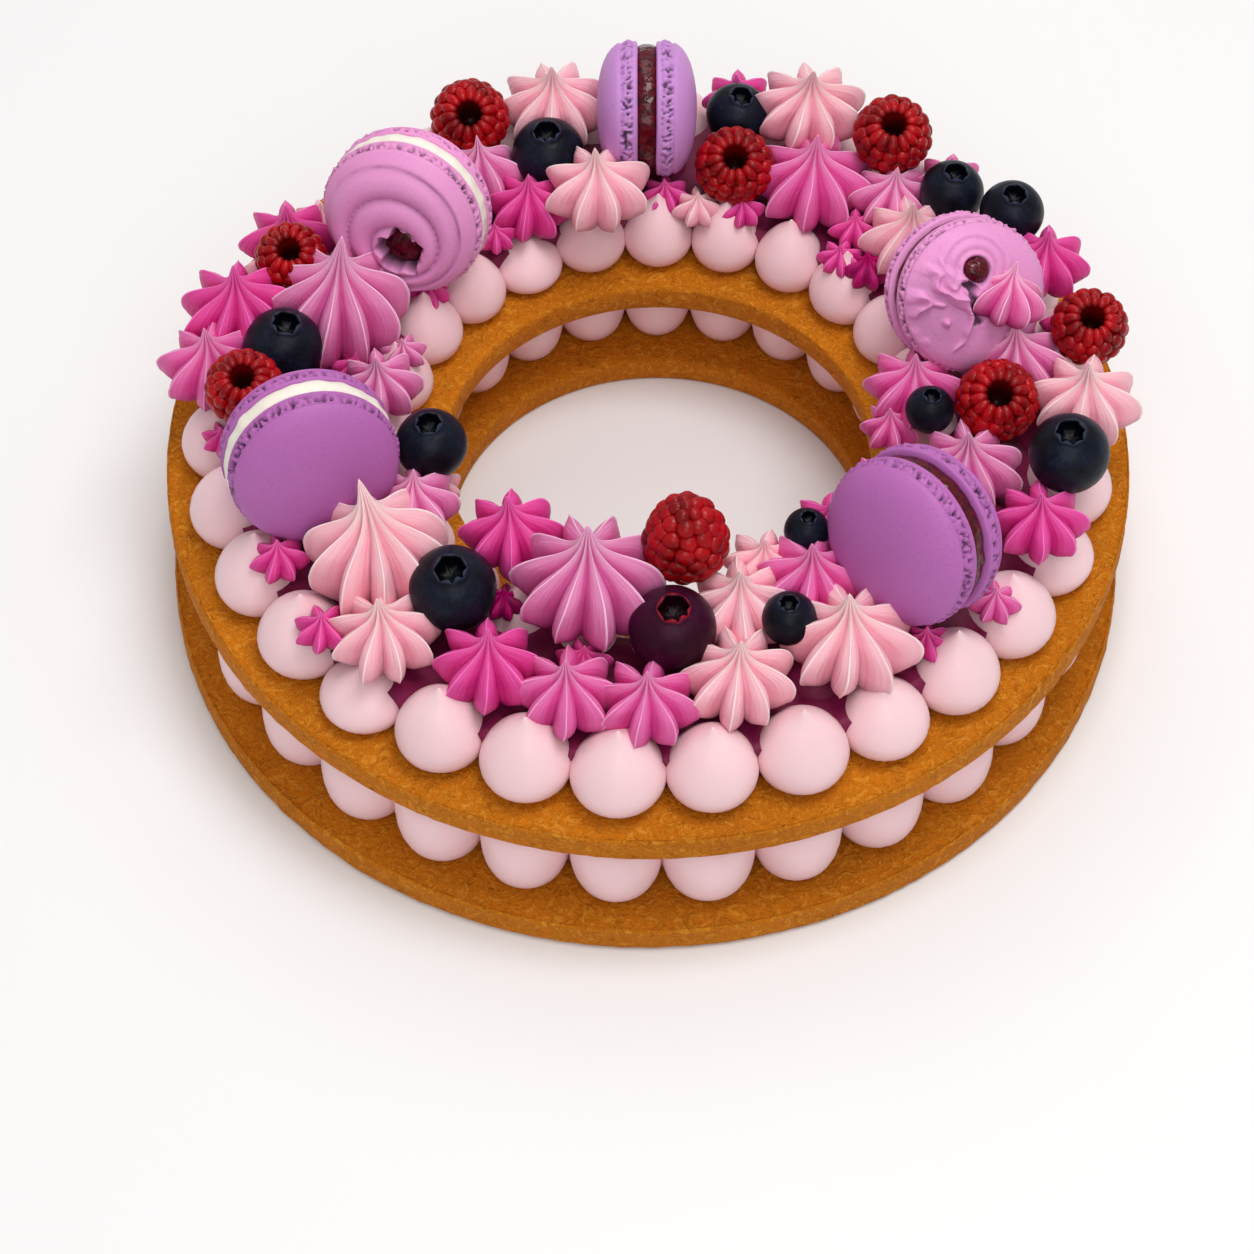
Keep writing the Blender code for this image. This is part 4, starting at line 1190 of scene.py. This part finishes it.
class TART_OT_macarons(bpy.types.Operator):
    """Set the macarons: two shells with ruffled feet and a filling"""

    bl_idname = "tart.macarons"
    bl_label = "Macarons"

    def coiled(self, spot):
        """Relief and share of painted shade of a face where cream coils in towards an off-centre hole."""
        share = 1.0
        for _ in range(COIL_ROUNDS):
            centre = COIL_HOLE * (1 - share)
            share = clamp(((spot - centre).length - COIL_HOLE_SHARE) / (COIL_REACH - COIL_HOLE_SHARE))
        around = math.atan2(spot.y - COIL_HOLE.y, spot.x - COIL_HOLE.x)
        along = (share * COIL_TURNS - around / math.tau) % 1.0
        coil = (1 - (2 * along - 1) ** 2) ** 0.6
        fade = clamp((COIL_FADE - share) * 8)
        ragged = sum(depth * math.sin(count * around + phase) for depth, count, phase in HOLE_TEETH)
        sink = clamp(1 - ((spot - COIL_HOLE).length - COIL_HOLE_SHARE - ragged) / HOLE_WALL)
        rise = COIL_DEPTH * coil * fade * (1 - sink) - HOLE_DEPTH * sink
        # Painted shade in the hole and, more faintly, in the valleys of the coil.
        return rise, max(sink, 0.28 * fade * (1 - coil))

    def crumpled(self, spot):
        """Relief and share of painted shade of a face with torn folds of cream about a drop of jam."""
        away = (spot - DROP_PLACE).length
        above = clamp((spot.y - DROP_PLACE.y + 0.22) * 3) * clamp((0.62 - away) * 6)
        arcs = (1 - (2 * ((away * ARC_COUNT) % 1.0) - 1) ** 2) ** 0.7
        heap = clamp((FOLD_REACH - (spot - FOLD_PLACE).length) * 4)
        bend = Vector((spot.x * FOLD_SCALE, spot.y * FOLD_SCALE, 0.7))
        fold = abs(noise.noise(bend + Vector((0.9 * noise.noise(bend * 2.0), 0, 0)))) * 3.2
        ruck = 1 - min(1.0, fold)
        wander = TEAR_WANDER * noise.noise(Vector((spot.x * 7, spot.y * 7, 2.0)))
        tear = abs((spot - TEAR_START).cross(TEAR_WAY) + wander)
        torn = 0 < (spot - TEAR_START).dot(TEAR_WAY) < TEAR_LENGTH
        sink = clamp((TEAR_WIDTH - tear) * 22) * torn
        socket = clamp((DROP_SHARE + 0.03 - away) * 18)
        rise = ARC_DEPTH * arcs * above + FOLD_DEPTH * ruck * heap - TEAR_DEPTH * max(sink, socket)
        # Painted shade in the tear, round the drop, in the creases between the folds and between the arcs.
        folds = 0.30 * heap * max(0.0, 0.45 - ruck) * 2
        return rise, max(0.9 * sink, 0.5 * socket, folds, 0.16 * above * (1 - arcs))

    def shell(self, radius, half, kind, seed):
        """Points, faces and shares of painted shade of one shell with its foot, facing +Z."""
        relief = {"coiled": self.coiled, "crumpled": self.crumpled}.get(kind)
        outline = ((0.0, 1.0),) + SHELL_OUTLINE + FOOT_OUTLINE
        rows = outline[1:]
        shift = Vector((seed, 0, 0))
        pit_shades = []

        def dome(out):
            for (out_a, up_a), (out_b, up_b) in zip(outline, outline[1:]):
                if out <= out_b:
                    return up_a + (up_b - up_a) * (out - out_a) / (out_b - out_a)
            raise ValueError("the face reaches past its edge")

        def place(row, angle):
            out, up = rows[row]
            way = way_out(angle)
            point = way * out * radius + Vector((0, 0, up * half))
            pit = 0.0
            if FOOT_FLOOR < up < FOOT_TOP:
                coarse, fine = (noise.noise(point * scale + shift) for scale in RUFFLE_SCALES)
                ruffle = coarse + 0.5 * fine
                band = min(1.0, (up - FOOT_FLOOR) * 14, (FOOT_TOP - up) * 14)
                # A hole in the foot is dented in, and its share also paints its shade.
                pit = clamp(-ruffle * 3.6 - 0.30) * band
                point -= way * (PIT_DEPTH * pit - RUFFLE_RISE * max(0.0, ruffle) * band)
            else:
                point.z += FACE_WAVE * noise.noise(point * FACE_WAVE_SCALE + shift)
                if relief and up >= FOOT_TOP:
                    rise, pit = relief(Vector((way.x, way.y)) * out)
                    point.z += rise - FACE_SINK
            pit_shades.append(pit)
            return point

        if relief:
            shares = (FACE_EDGE * (step + 1) / FACE_ROWS for step in range(FACE_ROWS))
            rows = [(share, dome(share)) for share in shares]
            rows += [(out, up) for out, up in outline if up < FACE_FOOT]
        points, faces = rings(len(rows), MACARON_COLUMNS, place, foot=Vector((0, 0, rows[-1][1] * half)))
        points.append(sum(points[:MACARON_COLUMNS], Vector()) / MACARON_COLUMNS)
        faces += [(len(points) - 1, i, (i + 1) % MACARON_COLUMNS) for i in range(MACARON_COLUMNS)]
        pit_shades += [0.0, pit_shades[0]]
        return points, faces, pit_shades

    def filling(self, radius, half, seed):
        """A band of filling that bulges unevenly between the shells."""
        def place(row, angle):
            out, up = FILLING_OUTLINE[row]
            way = way_out(angle)
            bulge = 1 + FILLING_BULGE * noise.noise(Vector((way.x * 6 + seed, way.y * 6, up * 5)))
            return way * out * radius * bulge + Vector((0, 0, up * half))
        end = Vector((0, 0, FILLING_OUTLINE[-1][1] * half))
        return rings(len(FILLING_OUTLINE), MACARON_COLUMNS, place, -end, end)

    def drop(self, spot, radius, height, size, squash):
        """A lumpy drop of jam at a spot of a face."""
        centre = Vector((spot.x * radius, spot.y * radius, height))
        size *= radius

        def place(row, angle):
            turn = math.pi * (row + 1) / (DROP_ROWS + 1)
            way = way_out(angle) * math.sin(turn) + Vector((0, 0, math.cos(turn)))
            lump = 1 + DROP_LUMPS * noise.noise(way * 2.3 + centre * 300)
            return centre + Vector((way.x, way.y, way.z * squash)) * size * lump
        pole = Vector((0, 0, squash * size))
        return rings(DROP_ROWS, DROP_COLUMNS, place, centre + pole, centre - pole)

    def execute(self, context):
        shells = {name: shell_finish(name) for name in ("lilac", "mauve", "pink")}
        jam = jam_finish()
        fillings = {"jam": jam, "milk": milk_finish()}
        rose = cream_finish("rosette cream", tint("pink_crest"), tint("rose_groove"))
        flip = Matrix.Rotation(math.pi, 3, "X")
        for seed, (name, macaron) in enumerate(MACARONS.items()):
            heading, rise, width, thickness, filling, face, shell = macaron
            radius = width * MM / 2
            half = thickness * MM / 2
            level = FACE_LEVEL * half
            front, front_faces, front_pit_shades = self.shell(radius, half, face, seed * 5.3)
            back, back_faces, back_pit_shades = self.shell(radius, half, "smooth", seed * 5.3 + 2.1)
            skins = [(front, front_faces, 0), ([flip @ point for point in back], back_faces, 0)]
            skins.append((*self.filling(FILLING_REACH[filling] * radius, half, seed), 1))
            if face == "coiled":
                skins.append((*self.drop(COIL_HOLE, radius, level - HOLE_DEPTH, COIL_HOLE_SHARE, 0.45), 2))
            if face == "crumpled":
                skins.append((*self.drop(DROP_PLACE, radius, level - FACE_SINK, DROP_SHARE, 0.85), 2))
            pit_shades = front_pit_shades + back_pit_shades
            mesh = joined(*skins)
            store(mesh, "pit", "FLOAT", "value", pit_shades + [0.0] * (len(mesh.vertices) - len(pit_shades)))
            tilt = math.radians(rise)
            axis = way_out(math.radians(heading)) * math.cos(tilt) + Vector((0, 0, math.sin(tilt)))
            stand = Matrix.Translation(middle(name)) @ turned_to(Vector((0, 0, 1)), axis)
            mesh.transform(stand)
            dress(add("baked_" + name, mesh, shells[shell], fillings[filling], jam), name)
            if face == "crumpled":
                dress(self.rosette(stand, radius, half, rose), name)
        return {"FINISHED"}

    def rosette(self, stand, radius, half, material):
        """A small piped star that leans up a crumpled face."""
        mesh = star(
            ROSETTE_WIDTH, ROSETTE_HEIGHT, 9, SMALL_STAR, material, twist=math.radians(10), turn=0.4,
            lean=Vector(), unevenness=0.3, seed=3.0,
        )
        foot = stand @ Vector((ROSETTE_PLACE.x * radius, ROSETTE_PLACE.y * radius, ROSETTE_LEVEL * half))
        face_way = stand.to_3x3() @ Vector((0, 0, 1))
        up = stand.to_3x3() @ Vector((0, 1, 0))
        axis = (face_way * 0.40 + up * 0.92).normalized()
        mesh.transform(Matrix.Translation(foot) @ turned_to(up, axis) @ turned_to(Vector((0, 0, 1)), up))
        return add("rosette_on_macaron", outward(mesh))


def turned_to(start, end):
    """The turn that brings one direction to another."""
    return start.rotation_difference(end).to_matrix().to_4x4()


class TART_OT_raspberries(bpy.types.Operator):
    """Set the raspberries: drupelets in rings on a core"""

    bl_idname = "tart.raspberries"
    bl_label = "Raspberries"

    def drupelet(self):
        """A drupelet of unit radius."""
        def place(row, angle):
            turn = math.pi * (row + 1) / (DRUPELET_ROWS + 1)
            return way_out(angle) * math.sin(turn) + Vector((0, 0, math.cos(turn)))
        skin = rings(DRUPELET_ROWS, DRUPELET_COLUMNS, place, Vector((0, 0, 1)), Vector((0, 0, -1)))
        return add("drupelet", joined(skin))

    def core(self, radius, table, cup):
        """The body under the drupelets, with a hollow if it is a cup."""
        rows = [(out * CORE_SHARE, up * CORE_SHARE) for out, up, _count, _length in table if out]
        if cup:
            rows = [*HOLLOW, *rows]

        def place(row, angle):
            out, up = rows[row]
            return (way_out(angle) * out + Vector((0, 0, up))) * radius
        top = Vector((0, 0, (HOLLOW_FLOOR if cup else CORE_SHARE) * radius))
        foot = Vector((0, 0, table[-1][1] * 0.96 * radius))
        return joined(rings(len(rows), CORE_COLUMNS, place, top, foot))

    def spots(self, radius, table, cup, draw):
        """Where the drupelets sit, how large they are in shares of the radius, and which way they face."""
        spots = []
        for k, (out, up, count, length) in enumerate(table):
            across = DRUPELET_OVERLAP * math.pi * out / count if count > 1 else length
            for i in range(count):
                angle = math.tau * (i + 0.5 * (k % 2)) / count + draw.uniform(-0.05, 0.05)
                side = way_out(angle)
                way = side * (out if k or not cup else RIM_FACING) + Vector((0, 0, up * 0.9 + 0.02))
                point = (side * out + Vector((0, 0, up + draw.uniform(-0.02, 0.02)))) * radius * CORE_SHARE
                grow = draw.uniform(0.94, 1.07)
                size = (length * grow, across * grow, DRUPELET_DEPTH * grow)
                spots.append((point, size, way.normalized(), angle))
        return spots

    def execute(self, context):
        material = raspberry_finish()
        draw = random.Random(context.scene.tart_sizes.seed)
        for name, (width, lean) in RASPBERRIES.items():
            radius = width * MM / 2
            cup = name != TIP_UP
            table = CUP_RINGS if cup else TIP_RINGS
            skin = set_on_points(self.spots(radius, table, cup, draw), self.drupelet(), radius, material)
            body = self.core(radius, table, cup)
            bm = bmesh.new()
            bm.from_mesh(skin)
            bm.from_mesh(body)
            bm.to_mesh(skin)
            bm.free()
            bpy.data.meshes.remove(body)
            # Painted shade in the hollow, darkest at its middle.
            hollow_shades = [
                max(0.0, 1 - vert.co.xy.length / (HOLLOW_REACH * radius)) * cup * (vert.co.z > -0.5 * radius)
                for vert in skin.vertices
            ]
            store(skin, "hollow", "FLOAT", "value", hollow_shades)
            spin = Matrix.Rotation(draw.uniform(0, math.tau), 4, "Z")
            tip = Matrix.Rotation(math.radians(lean), 4, "X")
            skin.transform(Matrix.Translation(middle(name)) @ tip @ spin)
            dress(add("ripe_" + name, skin), name)
        return {"FINISHED"}


class TART_OT_blueberries(bpy.types.Operator):
    """Set the blueberries: round berries with a jagged crown about a crater"""

    bl_idname = "tart.blueberries"
    bl_label = "Blueberries"

    def berry(self, radius, seed, tilt):
        """A round berry whose crown is a ring of uneven scallops about a sunk floor."""
        start = math.asin(CROWN_OUT)
        turns = (start + (math.pi - start) * step / BERRY_ROWS for step in range(BERRY_ROWS - 1))
        rows = CRATER + tuple((math.sin(turn), math.cos(turn), 0, 0, 0) for turn in turns)
        marks = []

        def place(row, angle):
            out, up, jag, lift, mark = rows[row]
            way = way_out(angle)
            teeth = abs(math.cos(CROWN_TEETH / 2 * angle + seed + 0.7 * math.sin(angle + 2 * seed)))
            tooth = teeth ** 0.6 * (0.75 + 0.25 * math.sin(2 * angle + seed))
            up += lift * CROWN_HEIGHT * (tooth - 0.45)
            out -= CROWN_JAG * (tooth - 0.5) * jag
            wave = 1 + BERRY_WAVE * noise.noise(Vector((way.x * 1.4 + seed, way.y * 1.4, up * 1.5)))
            marks.append(mark)
            return (way * out + Vector((0, 0, up * BERRY_FLATNESS))) * radius * wave
        top = Vector((0, 0, CRATER[0][1] * 0.94 * radius))
        mesh = joined(rings(len(rows), BERRY_COLUMNS, place, top, Vector((0, 0, -BERRY_FLATNESS * radius))))
        store(mesh, "rim", "FLOAT", "value", marks + [-1.0, 0.0])
        mesh.transform(Matrix.Rotation(tilt[0], 4, "X") @ Matrix.Rotation(tilt[1], 4, "Y"))
        return mesh

    def execute(self, context):
        navy = blueberry_finish("blueberry")
        purple = blueberry_finish("purple_berry")
        draw = random.Random(context.scene.tart_sizes.seed)
        for name in [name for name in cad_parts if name.startswith("blueberry")]:
            low, high = corners(name)
            radius = (high.z - low.z) / 2 * BERRY_GROWTH
            tilt = (math.radians(draw.uniform(0, 12)), math.radians(draw.uniform(-4, 10)))
            mesh = self.berry(radius, draw.uniform(0, math.tau), tilt)
            mesh.transform(Matrix.Translation(middle(name)))
            dress(add("ripe_" + name, mesh, purple if name == PURPLE_BERRY else navy), name)
        return {"FINISHED"}


class TART_OT_stage(bpy.types.Operator):
    """Lay the floor, hang the soft lights and set the camera"""

    bl_idname = "tart.stage"
    bl_label = "Stage"

    def floor(self):
        """A plain pale floor just under the tart."""
        finish = Finish("floor", FLOOR_COLOUR)
        finish.tinge(finish.noise(3), FLOOR_CLOUD)
        level = CAD_BOX[0][2] - FLOOR_DROP
        points = [(x * FLOOR_HALF, y * FLOOR_HALF, level) for x, y in ((-1, -1), (1, -1), (1, 1), (-1, 1))]
        return add("floor", joined((points, [(0, 1, 2, 3)])), finish.done(roughness=0.6))

    def lamp(self, name, place, size, power):
        """A square soft light that faces the tart."""
        light = bpy.data.lights.new(name, "AREA")
        light.size = size
        light.energy = power
        obj = bpy.data.objects.new(name, light)
        obj.location = place
        obj.rotation_euler = (LIGHT_AIM - Vector(place)).to_track_quat("-Z", "Y").to_euler()
        bpy.context.scene.collection.objects.link(obj)

    def execute(self, context):
        scene = context.scene
        scene.view_settings.view_transform = "Standard"
        self.floor()
        world = bpy.data.worlds.new("studio") if scene.world is None else scene.world
        scene.world = world
        world.use_nodes = True
        sky = world.node_tree.nodes["Background"]
        sky.inputs["Color"].default_value = (1.0, 1.0, 1.0, 1)
        sky.inputs["Strength"].default_value = SKY_STRENGTH
        for light in LIGHTS:
            self.lamp(*light)

        data = bpy.data.cameras.new("camera")
        data.sensor_width = CAMERA_SENSOR
        data.lens = CAMERA_LENS
        camera = bpy.data.objects.new("camera", data)
        back = Vector((0, -math.cos(CAMERA_TILT), math.sin(CAMERA_TILT)))
        camera.location = CAMERA_AIM + back * CAMERA_DISTANCE
        camera.rotation_euler = (math.pi / 2 - CAMERA_TILT, 0, 0)
        scene.collection.objects.link(camera)
        scene.camera = camera
        return {"FINISHED"}


class TART_PT_panel(bpy.types.Panel):
    """Lists the makers of the tart's pieces, with its sizes and colours"""

    bl_label = "Cream tart"
    bl_space_type = "VIEW_3D"
    bl_region_type = "UI"
    bl_category = "Cream tart"

    def draw(self, context):
        for maker in MAKERS:
            self.layout.operator(maker.bl_idname)
        for group in (context.scene.tart_sizes, context.scene.tart_colours):
            for name in group.__annotations__:
                self.layout.prop(group, name)


MAKERS = (
    TART_OT_biscuits, TART_OT_kisses, TART_OT_stars, TART_OT_macarons, TART_OT_raspberries,
    TART_OT_blueberries, TART_OT_stage,
)
CLASSES = (TartSizes, TartColours, *MAKERS, TART_PT_panel)


def register():
    for cls in CLASSES:
        bpy.utils.register_class(cls)
    bpy.types.Scene.tart_sizes = PointerProperty(type=TartSizes)
    bpy.types.Scene.tart_colours = PointerProperty(type=TartColours)


def unregister():
    del bpy.types.Scene.tart_colours
    del bpy.types.Scene.tart_sizes
    for cls in reversed(CLASSES):
        bpy.utils.unregister_class(cls)


def main():
    """Register the add-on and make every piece."""
    register()
    bpy.ops.tart.biscuits()
    bpy.ops.tart.kisses()
    bpy.ops.tart.stars()
    bpy.ops.tart.macarons()
    bpy.ops.tart.raspberries()
    bpy.ops.tart.blueberries()
    bpy.ops.tart.stage()


if __name__ == "__main__":
    main()
